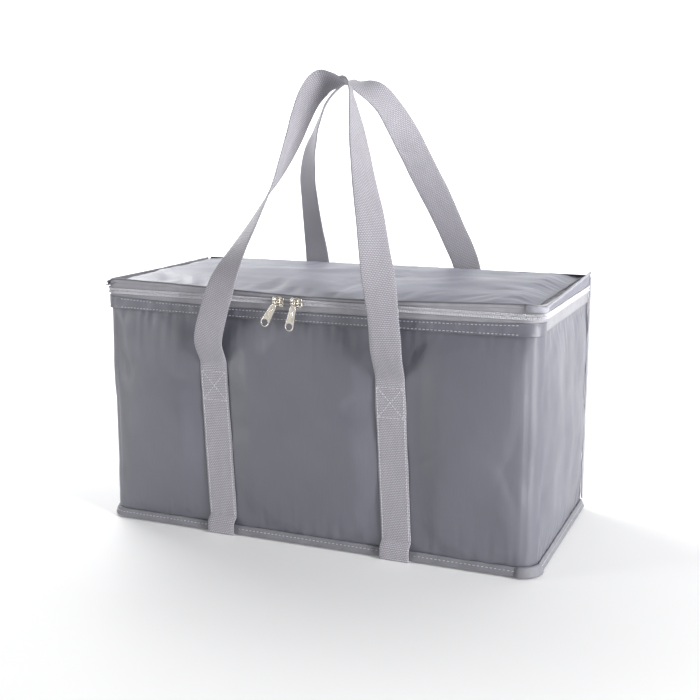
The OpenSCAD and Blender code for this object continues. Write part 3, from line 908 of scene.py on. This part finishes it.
class COOLERBAG_OT_walls(bpy.types.Operator):
    """Makes the padded walls, the back, the base and the hem under the zip"""
    bl_idname = "cooler_bag.walls"
    bl_label = "Walls"

    def execute(self, context):
        grid, normal = wall_grid(133, 37)
        held = np.zeros(grid.shape[:2], bool)
        held[0] = held[-1] = held[:, :2] = held[:, -3:] = True
        for side in (-1, 1):
            near = np.abs(grid[..., 0] - strap_middle(side, grid[..., 2])) < STRAP_W / 2 + 1 * MM
            held |= near & (grid[..., 1] < -WALL_Y + 20 * MM) & (grid[..., 2] < STITCH_Z + 14 * MM)
        settled = drape(grid, held, 1.2, 0.008, 1.5 * MM)
        out = ((settled - grid) * normal).sum(-1, keepdims=True)
        fine, fine_normal = wall_grid(397, 109)
        fine = fine + fine_normal * np.maximum(refine(out, 3), -0.15 * MM)
        walls = fabric("nylon_walls", fine, 0.7 * MM, "nylon", "bag", "nylon_wall", "outer_wall")

        x, z = np.meshgrid(np.linspace(WALL_X, -WALL_X, 181), np.linspace(BASE_Z, BACK_TOP_Z, 91),
                           indexing="ij")
        rise = hump(np.clip((z - 12 * MM) / (225 * MM), 0, 1)) ** 0.7
        rise = rise * (1 - np.abs(x / WALL_X) ** 4)
        straps = smoothstep(0, 26 * MM, np.abs(np.abs(x) - STRAP_X) - STRAP_W / 2)
        straps = np.maximum(straps, smoothstep(168 * MM, 195 * MM, z))
        swell = (2.6 * MM * rise + ripple(x, z, 90 * MM, 31) * 0.35 * MM * rise) * straps
        gather = ripple(x, z * 0.12, 9 * MM, 32) * 0.4 * MM * rise ** 0.2
        gather = gather * np.exp(-np.clip(z - 12 * MM, 0, 1) / (16 * MM))
        back = np.stack([x, WALL_Y + np.maximum(swell + gather * straps, -0.1 * MM), z], -1)
        panel = fabric("nylon_back", back, 0.7 * MM, "nylon", "bag", "nylon_wall", "back_panel")

        base = slab("nylon_base", WALL_X - 0.3 * MM, WALL_Y - 0.3 * MM, WALL_Y - 0.3 * MM, CORNER_R,
                    lambda x, y: BASE_Z + 0.05 * MM + 0 * x,
                    lambda x, y: BASE_Z + 0.85 * MM + 0.05 * MM * ripple(x, y, 40 * MM, 33))
        dress(base, "nylon", "bag", "nylon_wall", "base_panel")

        plan, normals, length = wrap_line(0, CORNER_R - WALL_Y, 301)
        v = np.linspace(0, 1, 15)[None, :]
        top, low = hem_edges(plan[:, :1])
        wavy = ripple(length[:, None], v * 6 * MM, 15 * MM, 34) * 0.34 * MM * hump(v) ** 0.5
        rolled = 0.4 * MM * (np.exp(-((v - 1) / 0.09) ** 2) + np.exp(-(v / 0.09) ** 2))
        close = smoothstep(0, 14 * MM, np.minimum(length, length[-1] - length))[:, None]
        out = (1.25 + 0.8 * close) * MM + np.maximum(wavy, -0.2 * MM) + rolled
        hem = plan[:, None, :] + normals[:, None, :] * out[..., None]
        hem = np.concatenate([hem, (low + (top - low) * v)[..., None]], -1)
        fabric("hem", hem, 0.75 * MM, "nylon", "bag", "nylon_wall", "hem_band")
        return {"FINISHED"}


class COOLERBAG_OT_lid(bpy.types.Operator):
    """Makes the padded lid with its foam, its lining, its side strips and the cloth it hinges on"""
    bl_idname = "cooler_bag.lid"
    bl_label = "Lid"

    def execute(self, context):
        past = np.linspace(217, 225.6, 8)
        x = np.concatenate([-past[::-1], np.linspace(-215, 215, 173), past]) * MM
        y = np.linspace(-WALL_Y - 1.8 * MM, WALL_Y - 0.6 * MM, 87)
        x, y = np.meshgrid(x, y, indexing="ij")
        front = front_limit(x, 226 * MM, WALL_Y + 1.8 * MM, 6 * MM)
        y = front + (y - y[0, 0]) * (y[0, -1] - front) / (y[0, -1] - y[0, 0])
        grid = np.stack([x, y, lid_height(x, y)], -1)
        held = np.zeros(grid.shape[:2], bool)
        held[:9] = held[-9:] = held[:, :2] = held[:, -2:] = True
        settled = drape(grid, held, 1.0, 0.004, 1.4 * MM)
        # The lid cloth wears the nylon painted lighter: painted light.
        cloth = fabric("lid_cloth", settled, 0.7 * MM, "lid_nylon", "lid", "nylon_lid", "lid_panel")

        under = lambda drop: (lambda x, y: lid_height(x, y) - drop)
        foam = slab("lid_foam_pad", 213 * MM, WALL_Y - 5 * MM, 98 * MM, 12 * MM,
                    under(6.0 * MM), under(1.3 * MM))
        dress(foam, "foam", "lid", "foam", "lid_foam")
        crease = lambda x, y: ripple(x, y, 26 * MM, 41) * 0.25 * MM
        lining = slab("lid_foil", 212 * MM, WALL_Y - 6 * MM, 97 * MM, 12 * MM,
                      lambda x, y: lid_height(x, y) - 7.6 * MM + crease(x, y),
                      lambda x, y: lid_height(x, y) - 6.8 * MM + crease(x, y), (120, 60))
        dress(lining, "foil", "lid", "foil_liner", "lid_liner")

        for side, name in SIDES:
            y, v = spread(-WALL_Y + 7 * MM, WALL_Y - 2 * MM, 90, 10)
            top = side_strip_top(y, side)
            z = 245.2 * MM + (top - 245.2 * MM) * v
            lean = ripple(y, v * 10 * MM, 24 * MM, 51 + side) * 0.4 * MM * v
            strip = np.stack([side * (WALL_X + 1.6 * MM) + lean, y, z], -1)
            # The side strips wear the nylon painted lighter: painted light.
            fabric("side_strip_" + name, strip[::side], 0.8 * MM, "lid_nylon", "lid", "nylon_lid",
                   "lid_strip", offset=0)

        x, v = spread(-214 * MM, 214 * MM, 181, 6)
        top = lid_front_edge(x) - 0.4 * MM
        low = np.maximum(top - 3.2 * MM, 244.6 * MM)
        out = 1.9 * MM + 0.25 * MM * ripple(x, v * 4 * MM, 18 * MM, 54) * v
        gusset = np.stack([x, -WALL_Y - out, low + (top - low) * v], -1)
        fabric("front_gusset", gusset, 0.7 * MM, "zip_tape", "lid", "nylon_lid", "lid_strip")

        route = np.array([(106.5, 246.6), (106.8, 249.0), (107.0, 250.6), (106.9, 251.9), (106.1, 253.0),
                          (104.6, 253.5), (102.6, 253.6)]) * MM
        route = cubic(route, 3)
        x = np.linspace(223.5 * MM, -223.5 * MM, 120)
        hinge = np.stack(np.broadcast_arrays(x[:, None], route[None, :, 0], route[None, :, 1]), -1)
        hinge[..., 1] += ripple(hinge[..., 0], hinge[..., 2], 20 * MM, 55) * 0.12 * MM
        obj = thicken(grid_object("hinge_cloth", hinge), 0.6 * MM)
        depsgraph = context.evaluated_depsgraph_get()
        mesh = bpy.data.meshes.new_from_object(obj.evaluated_get(depsgraph))
        obj.modifiers.clear()
        obj.data = mesh
        dress(obj, "binding", None, "edge_binding")
        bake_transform(obj)
        return {"FINISHED"}


class COOLERBAG_OT_edges(bpy.types.Operator):
    """Makes the bindings round the base and up the back corners, and the lid's piping"""
    bl_idname = "cooler_bag.edges"
    bl_label = "Edges"

    def execute(self, context):
        plan, normals = outline(-WALL_X, WALL_X, -WALL_Y, WALL_Y, (CORNER_R, 0.6 * MM), 3 * MM)
        count = len(plan)
        path, sides = lifted(plan), lifted(normals)
        ups = every(UP, path)
        section = cubic(np.array([(0.15, 1.75), (2.4, 1.72), (4.1, 1.85), (4.8, 2.5), (4.75, 3.5), (4.0, 5.6),
                                  (2.9, 8.2), (2.3, 9.6), (1.5, 10.2), (0.5, 9.9), (0.15, 9.2)]) * MM, 3)
        section = section[::-1]
        grid = carry(path, sides, ups, section)
        length = arc_lengths(path)[:, None]
        wave = ripple(length, 0, 17 * MM, 61) * 0.22 * MM
        wave = wave + ripple(length, 0, 60 * MM, 62) * 0.2 * MM
        bed = np.abs(np.abs(path[:, :1]) - STRAP_X) < STRAP_W / 2 + 3 * MM
        lift = smoothstep(2.5 * MM, 6 * MM, section[None, :, 1]) * np.where(bed, 0, 1)
        grid = grid + sides[:, None] * (wave * lift)[..., None] * 0.8
        rolled = smoothstep(7 * MM, 11 * MM, section[None, :, 1])
        grid = grid + ups[:, None] * (wave * lift * rolled)[..., None]
        around = arc_lengths(section)
        uv = np.stack(np.broadcast_arrays(around[None, :], length), -1)
        binding = grid_object("base_edge", grid, uv, closed=(True, True))
        dress(binding, "binding", "bag", "edge_binding", "base_binding")

        near = np.flatnonzero((plan[:, 0] > WALL_X - 21 * MM) & (plan[:, 1] < -WALL_Y + 17 * MM))
        share = np.linspace(0, 1, len(near))
        lap = np.sin(math.pi * share) ** 0.35
        flap = section[3:-3]
        proud = (0.75 + 0.5 * share)[:, None] * lap[:, None] * MM
        fold = path[near][:, None, :] + sides[near][:, None, :] * (flap[None, :, :1] + proud[..., None])
        fold = fold + ups[near][:, None, :] * (flap[None, :, 1:] * (0.94 + 0.1 * lap[:, None, None]))
        fabric("base_corner_fold", fold, 0.8 * MM, "binding", "bag", "edge_binding")

        for side, name in SIDES:
            z, v = spread(12.4 * MM, BACK_TOP_Z - 0.4 * MM, 120, 7)
            wide = 7.6 * MM + ripple(z, 0, 40 * MM, 63 + side) * 0.35 * MM
            wide = wide * (0.25 + 0.75 * smoothstep(12 * MM, 24 * MM, z))
            out = 1.6 * MM + 0.4 * MM * hump(v) + ripple(z, v * 5 * MM, 22 * MM, 65) * 0.16 * MM
            y = WALL_Y + 0.3 * MM - wide * v
            strip = np.stack([side * (WALL_X + out), y, z], -1)
            # The back corners' binding is painted lighter: painted light from the side lamp.
            fabric("corner_edge_" + name, strip[::-side], 1.1 * MM, "pale_binding", "bag", "edge_binding",
                   "corner_binding_" + name)

        x = np.linspace(-221 * MM, 221 * MM, 240)
        front = np.stack([x, np.full(240, -WALL_Y - 2.2 * MM), lid_front_edge(x) - 0.1 * MM], 1)
        low = smoothstep(212 * MM, 222 * MM, np.abs(x))
        front[:, 2] = front[:, 2] * (1 - low) + 250.3 * MM * low
        front[:, 1] += 3.0 * MM * low ** 2
        pipes = [("lid_piping_front", front, 0.75 * MM, "lid_binding")]
        for side, name in SIDES:
            y = np.linspace(-WALL_Y + 4 * MM, WALL_Y - 3 * MM, 110)
            seam = np.stack([np.full(110, side * 217.6 * MM) + ripple(y, 0, 26 * MM, 66) * 0.4 * MM, y,
                             lid_height(np.full(110, 217.6 * MM), y) + 0.2 * MM], 1)
            pipes.append(("lid_piping_" + name, seam, 1.0 * MM, "lid_binding"))
            edge_y = np.linspace(-WALL_Y + 7 * MM, WALL_Y - 2 * MM, 110)
            edge_z = side_strip_top(edge_y, side) + 0.2 * MM
            bound = np.stack([np.full(110, side * (WALL_X + 1.6 * MM)), edge_y, edge_z], 1)
            pipes.append(("side_strip_edge_" + name, bound, 1.3 * MM, "lid_binding"))
        ear = cubic(np.array([(211.5, -108.4, 250.6), (217, -109.1, 250.4), (222.5, -108.4, 249.9),
                              (226.6, -105.2, 249.3), (228.2, -100.2, 248.8), (228.0, -95.5, 248.4)]) * MM, 6)
        tangent = unit(np.gradient(ear, axis=0))
        upward = unit(every(UP, ear) - tangent * tangent[:, 2:])
        outward = np.cross(tangent, upward)
        ear = ear + outward * (ripple(arc_lengths(ear), 0 * ear[:, 0], 9 * MM, 68) * 0.3 * MM)[:, None]
        tape = tape_section(5.6 * MM, 0.9 * MM, 0.5 * MM)
        piece = sweep("lid_corner_ear", ear - upward * 1.6 * MM, upward, outward, tape)
        # The corner ear is painted lighter: painted light.
        dress(piece, "pale_binding", "lid", "edge_binding")

        for name, route, radius, node in pipes:
            tangent = unit(np.gradient(route, axis=0))
            side_way = unit(np.cross(tangent, UP))
            piece = sweep(name, route, side_way, np.cross(side_way, tangent), circle(radius, 10))
            # Pipings take the binding painted darker (painted shade); the side strips' edges take it painted
            # lighter (painted light).
            dress(piece, "piping" if "piping" in name else "pale_binding", "lid", "edge_binding", node)
        return {"FINISHED"}


class COOLERBAG_OT_zip(bpy.types.Operator):
    """Makes the zip: both tapes, both halves of the coil, the two sliders and their pulls"""
    bl_idname = "cooler_bag.zip"
    bl_label = "Zip"

    def execute(self, context):
        plan, normals, length = wrap_line(0, ZIP_END_Y, 420)
        path, outward, up = lifted(plan), lifted(normals), np.array(UP)
        v = np.linspace(0, 1, 8)[None, :]
        edge = np.where(np.abs(plan[:, 1] + WALL_Y) < 1 * MM, lid_front_edge(plan[:, 0]) - 0.6 * MM, 1)
        edge = np.minimum(edge, TOP_Z - 3.6 * MM)[:, None]
        parting, tape_drop = 0.8 * MM, 14.7 * MM
        for name, low, high, body, node in (
                ("zip_tape_low", ZIP_Z - tape_drop, ZIP_Z - parting, "bag", "zip_tape_lower"),
                ("zip_tape_high", ZIP_Z + parting, edge, "lid", "zip_tape_upper")):
            z = low + (high - low) * v
            wavy = ripple(length[:, None], v * 8 * MM, 30 * MM, 71) * 0.08 * MM * hump(v)
            grid = path[:, None] + outward[:, None] * (1.1 * MM + wavy)[..., None] + up * z[..., None]
            fabric(name, grid, 0.55 * MM, "zip_tape", body, "zip_tape", node)

        pitch = context.scene.cooler_bag_sizes.tooth_pitch
        for name, sign, body, node in (("coil_low", -1, "bag", "coil_lower"),
                                       ("coil_high", 1, "lid", "coil_upper")):
            centre, along, face = evenly(path, outward, pitch)
            if sign > 0:
                centre = centre + unit(along) * pitch / 2
            teeth = centre + face * 1.75 * MM + up * (ZIP_Z + sign * 1.15 * MM)
            rider = centre + face * 2.35 * MM + up * (ZIP_Z + sign * 2.15 * MM)
            coil = beads_object(name, [(teeth, every(UP, teeth), face)], bead(2.5 * MM, 0.62 * MM, 8))
            dress(coil, "coil", body, "zip_coil", node)
            sewn = beads_object(name + "_sewing", [(rider, along, face)], bead(1.25 * MM, 0.62 * MM, 8))
            dress(sewn, "thread", body, "zip_coil")

        for x, name, lean in ((middle("slider_left").x, "left", 31), (middle("slider_right").x, "right", 13)):
            self.slider(x, name)
            self.pull(x, name, lean)
        return {"FINISHED"}

    def slider(self, x, name):
        """The slider's front plate with its lip and post, and the crown that holds the pull's bar."""
        nose = 1 if name == "left" else -1
        upper = [(-1, 0.55), (-0.8, 0.96), (0, 1), (0.72, 0.98), (0.98, 0.66), (1, 0)]
        half = [(px, -pz) for px, pz in upper] + upper[-2::-1]
        half = np.array(half + [(-0.93, 0), (-1, -0.55)]) * (nose * 6 * MM, 4.7 * MM)
        shape = cubic(half, 4)[:-1]
        lip_shape = np.array([(-5.3, -4.7), (5.3, -4.7), (5.3, -3.6), (-5.3, -3.6)]) * MM
        post_shape = circle(1, 20) * (2.6 * MM, 0.55 * MM)
        wall = -WALL_Y
        plates = (("plate", shape, -4.35, 1.3, 0.45), ("back", shape, 0.4, 1.1, 0.35),
                  ("post", post_shape, -2, 4.6, 0.1), ("lip", lip_shape, -2.9, 2.9, 0.3))
        parts = [curve_plate(part, [loop], (x, wall + y * MM, ZIP_Z), thick * MM, bevel * MM)
                 for part, loop, y, thick, bevel in plates]
        arch = cubic(np.array([(-5.2, 4.6), (-4.6, 6.4), (-3.4, 8.6), (-1.6, 9.6), (0, 9.75), (1.6, 9.6),
                               (3.4, 8.6), (4.6, 6.4), (5.2, 4.6)]) * MM, 5)
        route = lifted(np.stack([x + arch[:, 0], wall - arch[:, 1]], 1), ZIP_Z)
        tangent, ups = unit(np.gradient(route, axis=0)), every(UP, route)
        for height in (-2.35 * MM, 2.35 * MM):
            parts.append(sweep("crown", route + ups * height, ups, np.cross(tangent, ups),
                               tape_section(1.2 * MM, 1.0 * MM)))
        bar = np.array([(x + across * MM, wall - 8.8 * MM, ZIP_Z) for across in np.linspace(-3.6, 3.6, 6)])
        parts.append(sweep("bar", bar, every(BACKWARDS, bar), every(UP, bar), circle(0.88 * MM, 14)))
        for cheek in (-3.4 * MM, 3.4 * MM):
            stem = np.array([(x + cheek, wall - out * MM, ZIP_Z) for out in np.linspace(4.2, 9.2, 7)])
            parts.append(sweep("cheek", stem, every(SIDEWAYS, stem), every(UP, stem),
                               tape_section(2.6 * MM, 1.1 * MM)[:, ::-1]))
        dress(join("slider_body_" + name, parts), "nickel", name + "_slider", "nickel", "slider_" + name)

    def pull(self, x, name, lean):
        """The pull tab: a tapered blade that ends in a ring, with a raised rib along its middle, hung by its
        knuckle.
        """
        lean = math.radians(lean)
        tip_r, hole_r = 4.45 * MM, 3.2 * MM
        centre = np.array((0, tip_r - 27.5 * MM))
        turned = np.array(((math.cos(lean), -math.sin(lean)), (math.sin(lean), math.cos(lean))))
        right = np.array([(1.1, -1.6), (2.0, -3.0), (2.9, -4.6), (3.25, -7), (3.6, -13),
                          (4.35, centre[1] / MM + 1.5)]) * MM
        angles = np.linspace(0.2, -math.pi - 0.2, 26)
        end = centre + tip_r * np.stack([np.cos(angles), np.sin(angles)], 1)
        loop = np.concatenate([right, end, right[::-1] * (-1, 1)])
        groove = np.array([(0.8, -7.5), (1.15, -14), (0.6, -16.6)]) * MM
        groove = np.concatenate([groove, groove[::-1] * (-1, 1)])
        place = (x, -WALL_Y - 8.8 * MM, ZIP_Z)
        hole = centre + circle(hole_r, 30)
        blade = curve_plate("blade", [loop @ turned, hole @ turned], place, 1.55 * MM, 0.4 * MM)
        rib = curve_plate("rib", [groove @ turned], place, 2.1 * MM, 0.3 * MM)
        profile = np.array([(-1.2, 1.05), (-1.2, 1.75), (-0.9, 2.05), (0.9, 2.05), (1.2, 1.75),
                            (1.2, 1.05)]) * MM
        knuckle = np.array([[(px, r * a, r * b) for px, r in profile] for a, b in circle(1, 24)]) + place
        eye = grid_object("knuckle", knuckle, closed=(True, True))
        dress(join("pull_tab_" + name, [blade, rib, eye]), "nickel", name + "_pull", "nickel", "pull_" + name)


class COOLERBAG_OT_webbing(bpy.types.Operator):
    """Makes the straps and handles, each pair from one length of webbing, and the straps under the base"""
    bl_idname = "cooler_bag.webbing"
    bl_label = "Webbing"

    def execute(self, context):
        section = tape_section(STRAP_W, 1.5 * MM, 0.1 * MM)
        for facing, name in ((-1, "front"), (1, "back")):
            path, width, face = webbing_frames(facing, 7)
            length = arc_lengths(path)[:, None]
            edge = ripple(length, 0, 38 * MM, 81) * 0.25 * MM
            strap = sweep("webbing_" + name, path, width, face, section)
            co = vertices(strap.data).reshape(len(path), len(section), 3)
            share = (section[:, 0] / (STRAP_W / 2))[None, :, None]
            co = co + width[:, None, :] * edge[..., None] * share
            strap.data.vertices.foreach_set("co", co.ravel())
            dress(strap, "webbing", None, "webbing", "strap_%s_left" % name, "strap_%s_right" % name,
                  "handle_" + name)
            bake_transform(strap)
        y = np.linspace(-96.5, 96.5, 60) * MM
        for side, name in SIDES:
            path = np.stack([np.full(60, side * STRAP_X), y, np.full(60, 0.8 * MM)], 1)
            under = sweep("webbing_base_" + name, path, every(SIDEWAYS, path), -every(UP, path), section)
            dress(under, "webbing", "bag", "webbing", "strap_base_" + name)
        return {"FINISHED"}


class COOLERBAG_OT_stitching(bpy.types.Operator):
    """Sews the straps, the hem and the binding with separate stitches"""
    bl_idname = "cooler_bag.stitching"
    bl_label = "Stitching"

    def execute(self, context):
        pitch = context.scene.cooler_bag_sizes.stitch_pitch
        stitch = bead(0.78 * pitch, 0.34 * MM)
        across, top, low = 13 * MM, STITCH_Z - 1.2 * MM, STITCH_Z - 30 * MM
        runs = []
        for facing in (-1, 1):
            normal = (0, facing, 0)
            for side in (-1, 1):
                at = lambda a, z: strap_point(side, facing, a, z)
                for a in (-across, across):
                    runs.append(stitch_run([at(a, 20 * MM), at(a, 90 * MM), at(a, top)], normal, pitch))
                for z in (top, low):
                    runs.append(stitch_run([at(-across, z), at(across, z)], normal, pitch))
                runs.append(stitch_run([at(-across, low), at(across, top)], normal, pitch))
                runs.append(stitch_run([at(across, low), at(-across, top)], normal, pitch))
        dress(beads_object("strap_stitches", runs, stitch), "thread", "bag", "webbing")

        x = np.linspace(-206 * MM, 206 * MM, 200)
        top_z, low_z = hem_edges(x)
        runs = []
        for z in (top_z - 2.0 * MM, low_z + 1.6 * MM):
            line = np.stack([x, np.full(200, -WALL_Y - 2.25 * MM), z], 1)
            runs.append(stitch_run(line, (0, -1, 0), pitch * 1.1))
        plan, normals, _ = wrap_line(3.55 * MM, WALL_Y - 1 * MM, 300)
        tilted, line = unit(lifted(normals, 0.45)), lifted(plan, 7.0 * MM)
        keep = np.abs(np.abs(line[:, 0]) - STRAP_X) > STRAP_W / 2 + 1 * MM
        ends = np.flatnonzero(np.diff(keep.astype(int))) + 1
        for part, use in zip(np.split(np.arange(300), ends), np.split(keep, ends)):
            if use[0] and len(part) > 3:
                runs.append(evenly(line[part], tilted[part], pitch * 1.2))
        edging = beads_object("edge_stitches", runs, bead(0.7 * pitch, 0.26 * MM))
        dress(edging, "thread", "bag", "edge_binding")
        return {"FINISHED"}


class COOLERBAG_OT_lining(bpy.types.Operator):
    """Makes the foil lining, the rim over the walls' foam, and the foam itself"""
    bl_idname = "cooler_bag.lining"
    bl_label = "Lining and foam"

    def execute(self, context):
        radius = CORNER_R - (WALL_X - INSIDE_X)
        plan, normals = outline(-INSIDE_X, INSIDE_X, -INSIDE_Y, INSIDE_Y, (radius, 1.5 * MM), 4 * MM)
        z = np.linspace(8.6 * MM, RIM_Z - 0.2 * MM, 70)
        length = arc_lengths(plan)
        s, height = np.meshgrid(length, z, indexing="ij")
        crumple = 0.7 + 0.35 * ripple(s, height, 30 * MM, 91) + 0.2 * ripple(s, height, 11 * MM, 92)
        upright = hump(np.clip((height - 8 * MM) / (228 * MM), 0, 1)) ** 0.3
        inward = np.clip(crumple, 0.05, 1.6) * MM * upright
        flat = plan[:, None, :] - normals[:, None, :] * inward[..., None]
        grid = np.concatenate([flat, height[..., None]], -1)[::-1]
        lining = fabric("foil_walls", grid, 0.5 * MM, "foil", "bag", "foil_liner", "liner_wall",
                        closed=(True, False))
        floor = slab("foil_base", INSIDE_X - 0.4 * MM, INSIDE_Y - 0.4 * MM, INSIDE_Y - 0.4 * MM, radius,
                     lambda x, y: 7.75 * MM + 0 * x,
                     lambda x, y: 8.5 * MM + 0.2 * MM * ripple(x, y, 24 * MM, 93), (120, 60))
        dress(floor, "foil", "bag", "foil_liner", "liner_base")

        plan, normals, _ = wrap_line(0, 98 * MM, 260)
        sides = lifted(normals)
        ups = every(UP, sides)
        rim_path = lifted(plan, RIM_Z + 0.1 * MM) - sides * 3.6 * MM
        rim = sweep("rim_binding", rim_path, sides, ups, tape_section(7.6 * MM, 0.55 * MM, 0.1 * MM))
        dress(rim, "binding", "bag", "edge_binding")
        x, v = spread(-217 * MM, 217 * MM, 120, 14)
        route = cubic(np.array([(98.0, 233.5), (98.2, 240), (98.3, 246), (98.8, 248.2), (101, 248.55),
                                (105.2, 248.5)]) * MM, 3)
        y = np.interp(v, np.linspace(0, 1, len(route)), route[:, 0])
        z = np.interp(v, np.linspace(0, 1, len(route)), route[:, 1])
        fabric("back_facing", np.stack([x, y, z], -1), 0.3 * MM, "foil", "bag", "foil_liner")

        half = (RIM_Z - LINER_Z) / 2 - 0.4 * MM
        foam_path = lifted(plan, (LINER_Z + RIM_Z) / 2) - sides * 3.6 * MM
        section = board_section(2.35 * MM, half, 0.75 * MM, 2 * MM)
        foam = sweep("foam_walls", foam_path, sides, ups, section)
        dress(foam, "foam", "bag", "foam", "foam_front", "foam_left", "foam_right")
        low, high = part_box("foam_back")
        centre = (low + high) / 2
        path = np.array([(x, centre.y, centre.z) for x in np.linspace(low.x + 1 * MM, high.x - 1 * MM, 40)])
        section = board_section(2.3 * MM, (high.z - low.z) / 2 - 0.3 * MM, 1 * MM, 2 * MM)
        back = sweep("foam_back_pad", path, every(BACKWARDS, path), every(UP, path), section)
        dress(back, "foam", "bag", "foam", "foam_back")
        inset = 1.4 * MM
        base = slab("foam_base_pad", WALL_X - inset, WALL_Y - inset, WALL_Y - inset, CORNER_R - 1.2 * MM,
                    lambda x, y: 2.7 * MM + 0 * x, lambda x, y: 7.5 * MM + 0 * x)
        dress(base, "foam", "bag", "foam", "foam_base")
        return {"FINISHED"}


class COOLERBAG_OT_stage(bpy.types.Operator):
    """Sets up the floor, the soft lights and the camera"""
    bl_idname = "cooler_bag.stage"
    bl_label = "Stage"

    def execute(self, context):
        scene = context.scene
        half_room, bend_y, bend_r = 9.0, 2.6, 0.9
        floor = grid_object("floor", np.array([[(x, y, 0) for y in (-half_room, bend_y)]
                                               for x in (-half_room, half_room)], float))
        floor.data.materials.append(finish("floor"))
        bend = [(bend_y + bend_r * math.sin(a), bend_r - bend_r * math.cos(a))
                for a in np.linspace(0, math.pi / 2, 12)] + [(bend_y + bend_r, 5.0)]
        sweep_up = np.array([[(x, y, z) for y, z in bend] for x in (-half_room, half_room)])
        backdrop = grid_object("backdrop", sweep_up)
        backdrop.data.materials.append(finish("backdrop"))
        world = bpy.data.worlds.new("studio")
        world.use_nodes = True
        world.node_tree.nodes["Background"].inputs["Color"].default_value = (0.95, 0.97, 1, 1)
        world.node_tree.nodes["Background"].inputs["Strength"].default_value = 0.2
        scene.world = world
        for name, place, aim, size, power in (
                ("side_light", (1.7, -0.62, 0.56), (0.2, 0, 0.14), (0.5, 1.4), 46),
                ("top_light", (-0.95, 0.55, 0.95), (-0.2, 0, 0.25), (0.8, 0.8), 13),
                ("left_light", (-1.7, -1.3, 0.6), (-0.2, 0, 0.15), (0.6, 1.4), 15)):
            lamp = bpy.data.lights.new(name, "AREA")
            lamp.shape = "RECTANGLE"
            lamp.size, lamp.size_y = size
            lamp.energy = power
            holder = put(name, lamp)
            holder.location = place
            holder.rotation_euler = (Vector(aim) - Vector(place)).to_track_quat("-Z", "Y").to_euler()
        lens = bpy.data.cameras.new("camera")
        lens.lens = 56.74
        lens.sensor_width = 36
        lens.clip_start, lens.clip_end = 0.05, 60
        camera = put("camera", lens)
        camera.location = (0.4358, -1.0377, 0.3989)
        aim = Vector((0.00069, 0, 0.1763)) - camera.location
        camera.rotation_euler = aim.to_track_quat("-Z", "Y").to_euler()
        scene.camera = camera
        scene.view_settings.view_transform = "Standard"
        return {"FINISHED"}


OPERATORS = (COOLERBAG_OT_walls, COOLERBAG_OT_lid, COOLERBAG_OT_edges, COOLERBAG_OT_zip, COOLERBAG_OT_webbing,
             COOLERBAG_OT_stitching, COOLERBAG_OT_lining, COOLERBAG_OT_stage)


class COOLERBAG_PT_panel(bpy.types.Panel):
    """Lists the steps that build the cooler bag, and its sizes and colours"""
    bl_idname = "COOLERBAG_PT_panel"
    bl_label = "Cooler Bag"
    bl_space_type = "VIEW_3D"
    bl_region_type = "UI"
    bl_category = "Cooler Bag"

    def draw(self, context):
        for group in (context.scene.cooler_bag_sizes, context.scene.cooler_bag_colours):
            for name in group.bl_rna.properties.keys():
                if name not in ("rna_type", "name"):
                    self.layout.prop(group, name)
        for operator in OPERATORS:
            self.layout.operator(operator.bl_idname)


CLASSES = (CoolerBagSizes, CoolerBagColours) + OPERATORS + (COOLERBAG_PT_panel,)


def register():
    for item in CLASSES:
        bpy.utils.register_class(item)
    bpy.types.Scene.cooler_bag_sizes = bpy.props.PointerProperty(type=CoolerBagSizes)
    bpy.types.Scene.cooler_bag_colours = bpy.props.PointerProperty(type=CoolerBagColours)


def unregister():
    del bpy.types.Scene.cooler_bag_colours
    del bpy.types.Scene.cooler_bag_sizes
    for item in reversed(CLASSES):
        bpy.utils.unregister_class(item)


def main():
    register()
    bpy.ops.cooler_bag.walls()
    bpy.ops.cooler_bag.lid()
    bpy.ops.cooler_bag.edges()
    bpy.ops.cooler_bag.zip()
    bpy.ops.cooler_bag.webbing()
    bpy.ops.cooler_bag.stitching()
    bpy.ops.cooler_bag.lining()
    bpy.ops.cooler_bag.stage()


if __name__ == "__main__":
    main()
